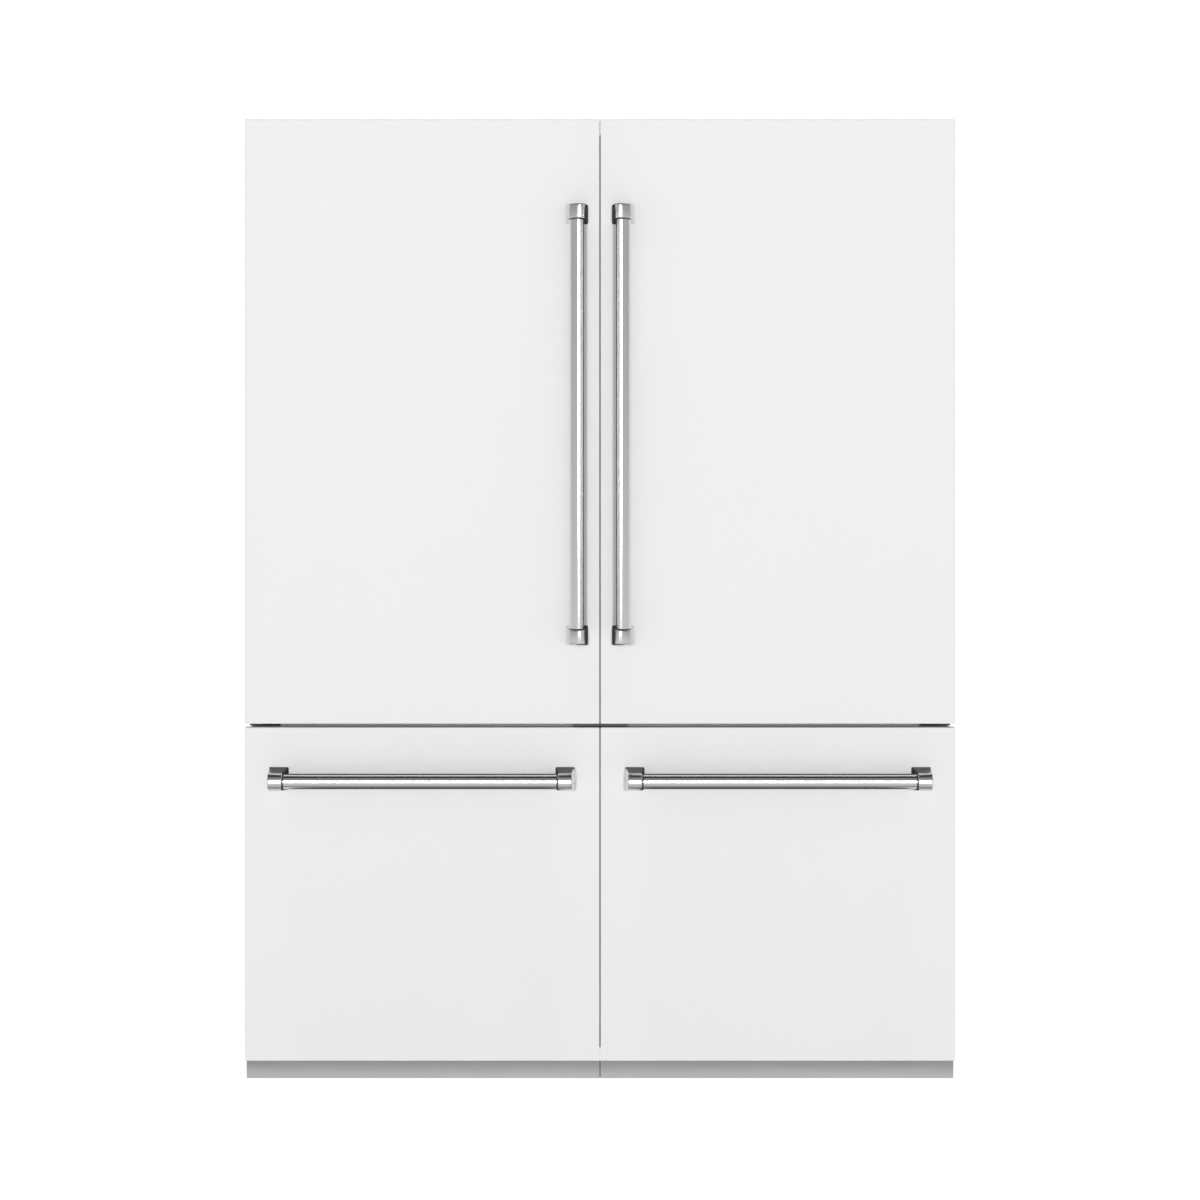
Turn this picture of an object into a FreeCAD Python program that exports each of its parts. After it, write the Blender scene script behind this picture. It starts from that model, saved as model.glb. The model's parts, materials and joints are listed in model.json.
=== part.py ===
"""Two 30 inch bottom-freezer cabinets joined side by side, as one wide french door refrigerator.

Millimetres, +Z up, the doors face -Y. The origin is the centre of the floor rectangle.
Places are given in three coordinates, which the helpers turn into X, Y and Z:
  u  across one cabinet, from its edge at the middle seam outward to its hinge edge
  p  backward from the front face of the door panels
  z  up from the floor
Every size is a text expression over the spreadsheet's aliases and the WORKED names.
"""

import FreeCAD, Part
import os
import re

import Sketcher

SIZES = {
    # overall
    "unit_width": 756.5,
    "unit_seam": 2,
    "drawer_bottom": 42,
    "drawer_height": 711,
    "panel_gap": 8,
    "door_height": 1289,
    "panel_thick": 20,
    "panel_round": 2,
    "panel_sheet": 1.5,
    "core_thick": 45,
    "core_inset": 3,
    "gasket_gap": 8,
    "gasket_squeeze": 0.4,
    "gasket_width": 16,
    "cabinet_depth": 560,
    "cabinet_low": 45,
    "cabinet_inset": 3,
    "cabinet_drop": 16,
    "sheet_steel": 1.2,
    "side_wall": 45,
    "top_wall": 70,
    "bottom_wall": 50,
    "back_wall": 55,
    "divider_wall": 80,
    "liner_wall": 1.5,
    "machine_height": 210,
    "machine_depth": 185,
    "step_wall": 43,
    "machine_side": 17,
    "base_board": 12,
    # hinges
    "hinge_inset": 14,
    "hinge_behind_panel": 20,
    "pin_radius": 6,
    "pin_clearance": 0.05,
    "pin_length": 30,
    "bore_spare": 3,
    "arm_thick": 6,
    "arm_outer": 8,
    "arm_inner": 20,
    "arm_nose": 9,
    "arm_play": 4,
    "hinge_plate_width": 68,
    "hinge_plate_depth": 90,
    "hinge_flange": 2.5,
    "flange_width": 60,
    "flange_half_height": 13,
    "collar_radius": 10,
    "collar_gap": 0.2,
    # handles
    "handle_standoff": 50,
    "tube_radius": 15.875,
    "tube_wall": 2,
    "tube_clearance": 0.05,
    "ring_wall": 3.625,
    "nose_flat": 0.05,
    "bracket_base": 42,
    "bracket_front": 30,
    "bracket_lean": 0.087,
    "nose_share": 0.918,
    "tube_end_wall": 10,
    "door_handle_low_margin": 168,
    "door_handle_top_margin": 182,
    "door_handle_inset": 48.5,
    "drawer_handle_drop": 108,
    "drawer_handle_margin": 52,
    # inside the fridge
    "shelf_front": 138,
    "shelf_side_gap": 2.5,
    "shelf_back_gap": 13.5,
    "shelf_rim": 8,
    "shelf_nose": 12,
    "shelf_frame_high": 14,
    "glass_seat": 6,
    "shelf_top_space": 240,
    "glass_thick": 5,
    "ledge_width": 8,
    "ledge_height": 10,
    "crisper_top_gap": 16,
    "ledge_end": 20,
    "crisper_hinge_gap": 61,
    "crisper_seam_gap": 20,
    "crisper_front": 143,
    "crisper_back_gap": 36.5,
    "crisper_floor_gap": 13.5,
    "crisper_height": 188,
    "crisper_wall": 3,
    "runner_width": 30,
    "runner_play": 0.5,
    "runner_inset": 5,
    "lip_inset": 60,
    "lip_depth": 7,
    "lip_height": 12,
    "duct_width": 200,
    "duct_depth": 12.5,
    "duct_top_gap": 65,
    "duct_foot_gap": 14,
    "vent_width": 70,
    "vent_height": 15,
    "vent_rise": 60,
    "vent_pitch": 100,
    "module_side": 120,
    "module_front": 17,
    "module_depth": 330,
    "module_height": 24,
    "lens_side": 40,
    "lens_front": 73,
    "lens_depth": 220,
    "lens_recess": 6,
    # door liner and bins
    "ridge_inset": 12,
    "ridge_width": 14,
    "ridge_depth": 17,
    "liner_sheet": 3,
    "bin_depth": 90,
    "bin_height": 105,
    "bin_wall": 2.5,
    "bin_first": 33,
    "bin_top_space": 219,
    "bin_side_gap": 2,
    "low_bin_hinge_gap": 100,
    # freezer drawer
    "rail_drop": 217,
    "rail_height": 46,
    "rail_sheet": 1.5,
    "rail_play": 1,
    "rail_flange": 11,
    "rail_bar": 12,
    "rail_back_gap": 56.5,
    "rail_stop": 2,
    "guide_width": 4.5,
    "rail_front_gap": 7,
    "bin_front_gap": 35,
    "freezer_bin_back_gap": 13.5,
    "freezer_bin_floor_gap": 15,
    "freezer_bin_wall": 3,
    "freezer_rim": 6,
    "rim_overhang": 8,
    "bin_rail_gap": 13.5,
    "tray_travel": 140,
    "tray_back_gap": 16.5,
    "tray_inset": 4,
    "tray_height": 115,
    "tray_play": 0.5,
    # cooling parts
    "fan_shaft_radius": 3,
    "fan_shaft_clearance": 0.05,
    "cold_fan_radius": 48,
    "cold_fan_drop": 79,
    "warm_fan_radius": 72,
    "compressor_radius": 72,
    "compressor_height": 168,
    "compressor_inset": 156,
    "grommet_radius": 9,
    "grommet_height": 8,
    "foot_plate": 3,
    "foot_plate_side": 14,
    "cover_plate": 6,
    "cover_gap": 56,
    "cover_side": 120,
    "grille_bar": 3,
    "grille_pitch": 15,
    "slot_height": 8,
    "slot_pitch": 16,
    "slot_side": 60,
    "fin_thick": 2,
    "coil_tube_radius": 4.5,
    "coil_gap": 5,
    "condenser_in": 40,
    "condenser_out": 200,
    "warm_fan_in": 236,
    "cold_fan_thick": 14,
    "warm_fan_thick": 18,
    "cold_motor_radius": 18,
    "cold_motor_length": 20,
    "warm_motor_radius": 24,
    "warm_motor_length": 40,
    "warm_motor_in": 262,
    "motor_gap": 10,
    "motor_stand": 8,
    "louvre_length": 170,
    "louvre_height": 8,
    "louvre_pitch": 18,
    "louvre_top": 22,
    # base
    "toe_setback": 12,
    "toe_lift": 2,
    "toe_high": 41,
    "toe_inset": 2,
    "foot_radius": 22,
    "foot_pad": 8,
    "foot_stem": 6,
    "foot_inset": 60,
    "foot_setback": 110,
    "toe_sheet": 1.5,
    "toe_shelf": 78,
    "roller_radius": 20,
    "roller_width": 22,
    "roller_setback": 33,
    "axle_radius": 5,
    "axle_clearance": 0.05,
    "fork_plate": 4,
    "fork_gap": 2,
    "fork_half_depth": 12,
    "fork_low": 8,
    "inlet_gap": 10,
    "power_low": 80,
    "power_inlet_width": 48,
    "power_inlet_height": 28,
    "power_inlet_depth": 33,
    "power_wall": 4,
    "power_recess": 18,
    "pin_blade_pitch": 9,
    "inlet_play": 1,
    "water_high": 94,
    "water_block": 40,
    "water_block_depth": 37,
    "water_stub_length": 21,
    "water_bore": 8,
    "water_bore_depth": 18,
    "water_hole_play": 3,
    "water_stub_radius": 13.2,
    "join_half": 58,
    "join_front": 3,
    "join_thick": 5,
    "roof_plate_half": 60,
    "roof_plate_front": 300,
    "roof_plate_depth": 60,
    "plate_thick": 3,
    "filler_play": 0.5,
    "filler_front": 7,
    "filler_depth": 15,
    "anti_tip_half": 200,
    "anti_tip_foot": 43,
    "anti_tip_height": 15,
    "anti_tip_hole_rise": 9,
    "anti_tip_hole_radius": 3,
    "anti_tip_hole_reach": 150,
}

# Sizes that follow from the driving ones. Each may use the ones above it.
WORKED = {
    "drawer_high": "drawer_bottom + drawer_height",
    "door_low": "drawer_high + panel_gap",
    "door_high": "door_low + door_height",
    "split_z": "drawer_high + panel_gap / 2",
    "core_back": "panel_thick + core_thick",
    "hinge_setback": "panel_thick + hinge_behind_panel",
    "cabinet_front": "core_back + gasket_gap",
    "body_depth": "cabinet_front + cabinet_depth",
    "ring_radius": "tube_radius + ring_wall",
    "handle_reach": "handle_standoff + ring_radius",
    "bracket_nose": "ring_radius * nose_share + nose_flat",
    "bracket_foot": "bracket_nose + handle_reach * bracket_lean",
    "face_y": "(handle_reach - body_depth) / 2",
    "cabinet_high": "door_high - cabinet_drop",
    "core_high": "cabinet_high - arm_play",
    "core_low": "door_low + core_inset",
    "drawer_core_low": "drawer_bottom + core_inset",
    "drawer_core_high": "drawer_high - arm_play",
    "door_handle_low": "door_low + door_handle_low_margin",
    "door_handle_length": "door_height - door_handle_low_margin - door_handle_top_margin",
    "drawer_handle_length": "unit_width - 2 * drawer_handle_margin",
    "cabinet_outer": "unit_width - cabinet_inset",
    "cavity_inner": "cabinet_inset + side_wall",
    "cavity_outer": "unit_width - cabinet_inset - side_wall",
    "cavity_back": "body_depth - back_wall",
    "fridge_floor": "split_z + divider_wall / 2",
    "fridge_ceiling": "cabinet_high - top_wall",
    "freezer_floor": "cabinet_low + bottom_wall",
    "freezer_ceiling": "split_z - divider_wall / 2",
    "machine_high": "cabinet_low + machine_height",
    "machine_front": "body_depth - machine_depth",
    "step_high": "machine_high + step_wall",
    "step_front": "machine_front - step_wall",
    "room_inner": "cavity_inner + liner_wall",
    "room_outer": "cavity_outer - liner_wall",
    "room_back": "cavity_back - liner_wall",
    "hinge_u": "unit_width - hinge_inset",
    "shelf_p": "hinge_setback + shelf_front",
    "shelf_depth": "room_back - shelf_p - shelf_back_gap",
    "crisper_z": "fridge_floor + liner_wall + crisper_floor_gap",
    "low_shelf": "crisper_z + crisper_height + crisper_top_gap",
    "shelf_pitch": "(fridge_ceiling - low_shelf - shelf_top_space) / 3",
    "shelf_in": "room_inner + shelf_side_gap",
    "shelf_out": "room_outer - shelf_side_gap",
    "crisper_in": "room_inner + crisper_seam_gap",
    "crisper_out": "hinge_u - crisper_hinge_gap",
    "crisper_p": "hinge_setback + crisper_front",
    "crisper_depth": "room_back - crisper_p - crisper_back_gap",
    "ridge_in": "room_inner + ridge_inset",
    "ridge_out": "room_outer - ridge_inset",
    "ridge_low": "fridge_floor + 18",
    "ridge_top": "fridge_ceiling - 19",
    "bins_room": "fridge_ceiling - fridge_floor - bin_first - bin_top_space - bin_height",
    "bin_pitch": "bins_room / 3",
    "rail_centre": "freezer_ceiling - rail_drop",
    "rail_low": "rail_centre - rail_height / 2",
    "rail_top": "rail_centre + rail_height / 2",
    "rail_p": "cabinet_front + rail_front_gap",
    "rail_length": "room_back - rail_p - rail_back_gap",
    "bar_top": "rail_top - 2 * rail_sheet - 2 * rail_play",
    "bar_low": "rail_low + 2 * rail_sheet + 2 * rail_play",
    "bar_start": "2 * rail_sheet + 2 * rail_play",
    "bar_end": "bar_start + rail_bar",
    "rim_in": "room_inner + bar_end - guide_width",
    "rim_out": "room_outer - bar_end + guide_width",
    "fbin_in": "room_inner + bar_end + bin_rail_gap",
    "fbin_out": "room_outer - bar_end - bin_rail_gap",
    "fbin_p": "core_back + bin_front_gap",
    "freezer_bin_depth": "step_front - liner_wall - fbin_p - freezer_bin_back_gap",
    "fbin_z": "freezer_floor + liner_wall + freezer_bin_floor_gap",
    "rim_top": "bar_top + freezer_rim",
    "cover_p": "room_back - cover_gap",
    "tray_p": "fbin_p + tray_inset",
    "tray_depth": "cover_p - tray_p - tray_travel - tray_back_gap",
    "cover_in": "cover_side",
    "cover_out": "unit_width - cover_side",
    "cold_fan_z": "freezer_ceiling - cold_fan_drop",
    "machine_mid": "body_depth - machine_depth / 2",
    "machine_floor": "cabinet_low + base_board",
    "service_low": "machine_floor + 3",
    "service_top": "machine_high - 5",
    "machine_inner": "cabinet_inset + machine_side",
    "machine_outer": "cabinet_outer - machine_side",
    "warm_fan_z": "cabinet_low + machine_height / 2",
    "power_in": "warm_motor_in + warm_motor_length + inlet_gap",
    "power_out": "power_in + power_inlet_width",
    "water_in": "power_out + inlet_gap + water_block / 2",
    "roller_p": "body_depth - roller_setback",
}

SIDES = (("left", -1), ("right", 1))

doc = FreeCAD.newDocument("refrigerator")
sizes = doc.addObject("Spreadsheet::Sheet", "sizes")
for row, (alias, size) in enumerate(SIZES.items(), 1):
    sizes.set(f"A{row}", alias)
    sizes.set(f"B{row}", str(size))
    sizes.setAlias(f"B{row}", alias)
doc.recompute()

nodes = []


# ---------------------------------------------------------------- expressions and places


def full(text):
    """The expression with each WORKED name written out and each alias given its sheet."""

    def swap(found):
        word = found.group(0)
        if word in WORKED:
            return "(" + full(WORKED[word]) + ")"
        return "sizes." + word if word in SIZES else word

    return re.sub(r"[a-z][a-z0-9_]*", swap, str(text))


def number(text):
    """What an expression comes to now."""
    return float(sizes.evalExpression(full(text)))


def bind(thing, path, text):
    thing.setExpression(path, full(text))


def across(side, u):
    """X of a place u out from the seam, in the cabinet on that side."""
    return f"{side} * (unit_seam / 2 + ({u}))"


def behind(p):
    """Y of a place p behind the panels' front face."""
    return f"face_y + ({p})"


def place(thing, x, y, z):
    bind(thing, "Placement.Base.x", x)
    bind(thing, "Placement.Base.y", y)
    bind(thing, "Placement.Base.z", z)


def turn(thing, axis, degrees):
    thing.Placement.Rotation = FreeCAD.Rotation(FreeCAD.Vector(*axis), degrees)


def done(label, thing):
    """Names a sub-part and puts it on the list of nodes."""
    thing.Label = label
    nodes.append(thing)
    return thing


# ---------------------------------------------------------------- primitives and booleans


def block(name, side, us, ps, zs):
    """A box between two places in u, two in p and two in z."""
    box = doc.addObject("Part::Box", name)
    bind(box, "Length", f"({us[1]}) - ({us[0]})")
    bind(box, "Width", f"({ps[1]}) - ({ps[0]})")
    bind(box, "Height", f"({zs[1]}) - ({zs[0]})")
    low = us[0] if side > 0 else us[1]
    place(box, across(side, low), behind(ps[0]), zs[0])
    return box


def middle_block(name, half, ps, zs):
    """A box that reaches the same way to both sides of the seam."""
    box = doc.addObject("Part::Box", name)
    bind(box, "Length", f"2 * ({half})")
    bind(box, "Width", f"({ps[1]}) - ({ps[0]})")
    bind(box, "Height", f"({zs[1]}) - ({zs[0]})")
    place(box, f"-({half})", behind(ps[0]), zs[0])
    return box


def rod(name, side, radius, length, u, p, z, way="z"):
    """A cylinder that starts at (u, p, z) and runs up, outward in u, or backward in p."""
    cylinder = doc.addObject("Part::Cylinder", name)
    bind(cylinder, "Radius", radius)
    bind(cylinder, "Height", length)
    if way == "u":
        turn(cylinder, (0, 1, 0), 90 * side)
    if way == "p":
        turn(cylinder, (1, 0, 0), -90)
    place(cylinder, across(side, u), behind(p), z)
    return cylinder


def cut(name, base, *tools):
    result = doc.addObject("Part::Cut", name)
    result.Base = base
    result.Tool = tools[0] if len(tools) == 1 else fuse(name + "_tools", *tools)
    return result


def fuse(name, *parts):
    result = doc.addObject("Part::MultiFuse", name)
    result.Shapes = list(parts)
    return result


def common(name, *parts):
    result = doc.addObject("Part::MultiCommon", name)
    result.Shapes = list(parts)
    return result


def group(label, parts):
    """Several separate solids that share one node."""
    result = doc.addObject("Part::Compound", label)
    result.Links = parts
    return done(label, result)


def tray_shape(name, side, us, ps, zs, wall):
    """A box with an open top and walls of one thickness."""
    outer = block(name + "_outer", side, us, ps, zs)
    inner = block(
        name + "_inner",
        side,
        (f"{us[0]} + {wall}", f"{us[1]} - {wall}"),
        (f"{ps[0]} + {wall}", f"{ps[1]} - {wall}"),
        (f"{zs[0]} + {wall}", f"{zs[1]} + {wall}"),
    )
    return cut(name, outer, inner)


def ring(name, side, us, ps, zs, width):
    """A rectangular frame in the plane of the doors, as wide as given all round."""
    outer = block(name + "_outer", side, us, ps, zs)
    inner = block(
        name + "_inner",
        side,
        (f"{us[0]} + {width}", f"{us[1]} - ({width})"),
        (f"{ps[0]} - 1", f"{ps[1]} + 1"),
        (f"{zs[0]} + {width}", f"{zs[1]} - ({width})"),
    )
    return cut(name, outer, inner)


# ---------------------------------------------------------------- bodies with sketches


def body(name):
    return doc.addObject("PartDesign::Body", name)


def sketch(owner, plane, name):
    """An empty sketch on one of the body's own origin planes."""
    base = [f for f in owner.Origin.OriginFeatures if f.Role == plane][0]
    drawing = owner.newObject("Sketcher::SketchObject", name)
    drawing.AttachmentSupport = [(base, "")]
    drawing.MapMode = "FlatFace"
    return drawing


def outline(drawing, corners):
    """A closed polygon, each corner held at its two expressions from the origin."""
    spots = [FreeCAD.Vector(number(a), number(b), 0) for a, b in corners]
    first = drawing.GeometryCount
    count = len(corners)
    for i in range(count):
        drawing.addGeometry(Part.LineSegment(spots[i], spots[(i + 1) % count]))
    for i in range(count):
        following = first + (i + 1) % count
        drawing.addConstraint(Sketcher.Constraint("Coincident", first + i, 2, following, 1))
    for i, corner in enumerate(corners):
        for kind, text in zip(("DistanceX", "DistanceY"), corner):
            rule = Sketcher.Constraint(kind, -1, 1, first + i, 1, number(text))
            index = drawing.addConstraint(rule)
            bind(drawing, f"Constraints[{index}]", text)


def circle(drawing, radius, x="0", y="0"):
    """A circle whose centre and radius follow expressions."""
    centre = FreeCAD.Vector(number(x), number(y), 0)
    axis = FreeCAD.Vector(0, 0, 1)
    curve = drawing.addGeometry(Part.Circle(centre, axis, number(radius)))
    rules = (
        (Sketcher.Constraint("Radius", curve, number(radius)), radius),
        (Sketcher.Constraint("DistanceX", -1, 1, curve, 3, number(x)), x),
        (Sketcher.Constraint("DistanceY", -1, 1, curve, 3, number(y)), y),
    )
    for rule, text in rules:
        index = drawing.addConstraint(rule)
        bind(drawing, f"Constraints[{index}]", text)


def pad(owner, drawing, name, length, reverse=False, midplane=False):
    feature = owner.newObject("PartDesign::Pad", name)
    feature.Profile = drawing
    feature.Reversed = reverse
    feature.Midplane = midplane
    bind(feature, "Length", length)
    return feature


def pocket(owner, drawing, name, length, reverse=False, midplane=False):
    feature = owner.newObject("PartDesign::Pocket", name)
    feature.Profile = drawing
    feature.Reversed = reverse
    feature.Midplane = midplane
    bind(feature, "Length", length)
    return feature


def revolve(owner, drawing, name):
    """A full turn about the sketch's own upright axis."""
    feature = owner.newObject("PartDesign::Revolution", name)
    feature.Profile = drawing
    feature.ReferenceAxis = (drawing, ["V_Axis"])
    feature.Angle = 360
    return feature


def round_edges(owner, base, name, radius, wanted):
    """A fillet on the edges of the base feature that the test picks."""
    doc.recompute()
    picked = [f"Edge{i}" for i, edge in enumerate(base.Shape.Edges, 1) if wanted(edge)]
    feature = owner.newObject("PartDesign::Fillet", name)
    feature.Base = (base, picked)
    bind(feature, "Radius", radius)
    return feature


def spin_copies(owner, base, name, axis, count):
    """Copies of a feature evenly round one of the body's axes."""
    line = [f for f in owner.Origin.OriginFeatures if f.Role == axis][0]
    feature = owner.newObject("PartDesign::PolarPattern", name)
    feature.Originals = [base]
    feature.Axis = (line, [""])
    feature.Angle = 360
    feature.Occurrences = count
    owner.Tip = feature
    return feature


# ---------------------------------------------------------------- cabinets


def cabinet_shell(side, word):
    """The folded steel wrapper: open at both cavities and at the machine space behind."""
    outer = block(
        f"shell_{word}_outer", side, ("cabinet_inset", "cabinet_outer"),
        ("cabinet_front", "body_depth"), ("cabinet_low", "cabinet_high"),
    )
    inner = foam_block(f"shell_{word}_inner", side)
    fridge_mouth = block(
        f"shell_{word}_fridge_mouth", side, ("cavity_inner", "cavity_outer"),
        ("cabinet_front - 1", "cabinet_front + 5"), ("fridge_floor", "fridge_ceiling"),
    )
    freezer_mouth = block(
        f"shell_{word}_freezer_mouth", side, ("cavity_inner", "cavity_outer"),
        ("cabinet_front - 1", "cabinet_front + 5"), ("freezer_floor", "freezer_ceiling"),
    )
    service_mouth = block(
        f"shell_{word}_service_mouth", side, ("machine_inner", "machine_outer"),
        ("body_depth - 5", "body_depth + 1"), ("service_low", "service_top"),
    )
    return cut(f"shell_{word}", outer, inner, fridge_mouth, freezer_mouth, service_mouth)


def foam_block(name, side):
    """The whole space inside the steel wrapper."""
    return block(
        name, side, ("cabinet_inset + sheet_steel", "cabinet_outer - sheet_steel"),
        ("cabinet_front + sheet_steel", "body_depth - sheet_steel"),
        ("cabinet_low + sheet_steel", "cabinet_high - sheet_steel"),
    )


def cabinet_foam(side, word):
    """The insulation, with both cavities and the machine space left out of it."""
    wide = ("cavity_inner", "cavity_outer")
    fridge = block(
        f"foam_{word}_fridge", side, wide,
        ("cabinet_front", "cavity_back"), ("fridge_floor", "fridge_ceiling"),
    )
    freezer = block(
        f"foam_{word}_freezer", side, wide,
        ("cabinet_front", "cavity_back"), ("step_high", "freezer_ceiling"),
    )
    freezer_low = block(
        f"foam_{word}_freezer_low", side, wide,
        ("cabinet_front", "step_front"), ("freezer_floor", "step_high + 1"),
    )
    machine = block(
        f"foam_{word}_machine", side, ("machine_inner", "machine_outer"),
        ("machine_front", "body_depth"), ("machine_floor", "machine_high"),
    )
    whole = foam_block(f"foam_{word}_block", side)
    foam = cut(f"foam_{word}", whole, fridge, freezer, freezer_low, machine)
    return done(f"cabinet_foam_{word}", foam)


def shelf_heights():
    """Underside of each glass shelf; the lowest one covers the crisper."""
    return [f"low_shelf + {step} * shelf_pitch" for step in range(4)]


def fridge_liner(side, word):
    """The moulded tub of the upper cavity, with shelf ledges and two crisper runners."""
    outer = block(
        f"fridge_liner_{word}_outer", side, ("cavity_inner", "cavity_outer"),
        ("cabinet_front", "cavity_back"), ("fridge_floor", "fridge_ceiling"),
    )
    inner = block(
        f"fridge_liner_{word}_inner", side, ("room_inner", "room_outer"),
        ("cabinet_front - 1", "room_back"),
        ("fridge_floor + liner_wall", "fridge_ceiling - liner_wall"),
    )
    tub = cut(f"fridge_liner_{word}_tub", outer, inner)
    pieces = [tub]
    for index, height in enumerate(shelf_heights()):
        for end, us in (
            ("in", ("cavity_inner", "room_inner + ledge_width")),
            ("out", ("room_outer - ledge_width", "cavity_outer")),
        ):
            top = f"{height} - glass_seat"
            pieces.append(block(
                f"ledge_{word}_{end}_{index}", side, us,
                ("shelf_p + ledge_end", "shelf_p + shelf_depth - ledge_end"),
                (f"{top} - ledge_height", top),
            ))
    runner_top = "crisper_z - runner_play"
    for end, us in (
        ("in", ("crisper_in + runner_inset", "crisper_in + runner_inset + runner_width")),
        ("out", ("crisper_out - runner_inset - runner_width", "crisper_out - runner_inset")),
    ):
        pieces.append(block(
            f"crisper_runner_{word}_{end}", side, us,
            ("crisper_p", "crisper_p + crisper_depth"), ("fridge_floor", runner_top),
        ))
    return fuse(f"fridge_liner_{word}", *pieces)


def freezer_liner(side, word):
    """The lower tub: a stepped profile padded across the cabinet, then hollowed."""
    owner = body(f"freezer_liner_{word}")
    profile = sketch(owner, "YZ_Plane", f"freezer_profile_{word}")
    outline(profile, [
        ("cabinet_front", "freezer_floor"), ("step_front", "freezer_floor"),
        ("step_front", "step_high"), ("cavity_back", "step_high"),
        ("cavity_back", "freezer_ceiling"), ("cabinet_front", "freezer_ceiling"),
    ])
    pad(owner, profile, f"freezer_tub_{word}", "cavity_outer - cavity_inner", midplane=True)
    hollow = sketch(owner, "YZ_Plane", f"freezer_hollow_{word}")
    low, top = "freezer_floor + liner_wall", "freezer_ceiling - liner_wall"
    outline(hollow, [
        ("cabinet_front - 1", low), ("step_front - liner_wall", low),
        ("step_front - liner_wall", "step_high + liner_wall"),
        ("room_back", "step_high + liner_wall"), ("room_back", top),
        ("cabinet_front - 1", top),
    ])
    pocket(owner, hollow, f"freezer_room_{word}", "room_outer - room_inner", midplane=True)
    place(owner, across(side, "unit_width / 2"), "face_y", "0")
    return owner


def shelves(side, word):
    """The panes and, round each, a moulded frame with a deeper front edge."""
    panes, frames = [], []
    glass_in, glass_out = "shelf_in + shelf_rim", "shelf_out - shelf_rim"
    glass_ps = ("shelf_p + shelf_nose", "shelf_p + shelf_depth - shelf_rim")
    for index, height in enumerate(shelf_heights()):
        panes.append(block(
            f"pane_{word}_{index}", side, (glass_in, glass_out), glass_ps,
            (height, f"{height} + glass_thick"),
        ))
        low = f"{height} - glass_seat"
        outer = block(
            f"frame_{word}_{index}_outer", side, ("shelf_in", "shelf_out"),
            ("shelf_p", "shelf_p + shelf_depth"), (low, f"{low} + shelf_frame_high"),
        )
        inner = block(
            f"frame_{word}_{index}_inner", side, (glass_in, glass_out), glass_ps,
            (f"{low} - 1", f"{low} + shelf_frame_high + 1"),
        )
        frames.append(cut(f"frame_{word}_{index}", outer, inner))
    return panes, frames


def ceiling_module(side, word):
    """The light and touch control housing under the fridge ceiling."""
    front = "cabinet_front + module_front"
    low = "fridge_ceiling - liner_wall - module_height"
    housing = block(
        f"module_{word}_housing", side, ("module_side", "unit_width - module_side"),
        (front, f"{front} + module_depth"), (low, "fridge_ceiling - liner_wall"),
    )
    lens_recess = block(
        f"module_{word}_recess", side,
        ("module_side + lens_side", "unit_width - module_side - lens_side"),
        (f"{front} + lens_front", f"{front} + lens_front + lens_depth"),
        (f"{low} - 1", f"{low} + lens_recess"),
    )
    return cut(f"module_{word}", housing, lens_recess)


# ---------------------------------------------------------------- cooling parts


def air_ducts(side, word):
    """The cover in front of the evaporator, with its fan grille, and the fridge air tower."""
    face = block(
        f"cover_{word}_face", side, ("cover_in", "cover_out"),
        ("cover_p", "cover_p + cover_plate"),
        ("step_high + liner_wall", "freezer_ceiling - liner_wall"),
    )
    hollow_ps = ("cover_p + cover_plate", "room_back")
    sides = [
        block(
            f"cover_{word}_{end}", side, us, hollow_ps,
            ("step_high + liner_wall", "freezer_ceiling - liner_wall"),
        )
        for end, us in (
            ("in", ("cover_in", "cover_in + cover_plate")),
            ("out", ("cover_out - cover_plate", "cover_out")),
        )
    ]
    shape = fuse(f"cover_{word}_shape", face, *sides)
    mouth = rod(
        f"cover_{word}_mouth", side, "cold_fan_radius + grille_bar", "cover_plate + 2",
        "unit_width / 2", "cover_p - 1", "cold_fan_z", "p",
    )
    slots = [
        block(
            f"cover_{word}_slot_{index}", side, ("cover_in + slot_side", "cover_out - slot_side"),
            ("cover_p - 1", "cover_p + cover_plate + 1"),
            (f"step_high + slot_pitch * {index + 1}",
             f"step_high + slot_pitch * {index + 1} + slot_height"),
        )
        for index in range(4)
    ]
    opened = cut(f"cover_{word}_opened", shape, mouth, *slots)
    bars = [
        block(
            f"cover_{word}_bar_{index}", side,
            ("unit_width / 2 - cold_fan_radius - grille_bar - 1",
             "unit_width / 2 + cold_fan_radius + grille_bar + 1"),
            ("cover_p", "cover_p + cover_plate / 3"),
            (f"cold_fan_z + {index - 2} * grille_pitch - grille_bar / 2",
             f"cold_fan_z + {index - 2} * grille_pitch + grille_bar / 2"),
        )
        for index in range(5)
    ]
    cover = fuse(f"cover_{word}", opened, *bars)
    tower = block(
        f"tower_{word}_block", side,
        ("(unit_width - duct_width) / 2", "(unit_width + duct_width) / 2"),
        ("room_back - duct_depth", "room_back"),
        ("low_shelf + duct_foot_gap", "fridge_ceiling - duct_top_gap"),
    )
    vents = [
        block(
            f"tower_{word}_vent_{step}_{index}", side,
            (f"{middle} - vent_width / 2", f"{middle} + vent_width / 2"),
            ("room_back - duct_depth - 1", "room_back - duct_depth / 3"),
            (f"{height} + vent_rise", f"{height} + vent_rise + vent_height"),
        )
        for step, height in enumerate(shelf_heights())
        for index, middle in enumerate(
            ("unit_width / 2 - vent_pitch / 2", "unit_width / 2 + vent_pitch / 2")
        )
    ]
    return [cover, cut(f"tower_{word}", tower, *vents)]


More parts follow.
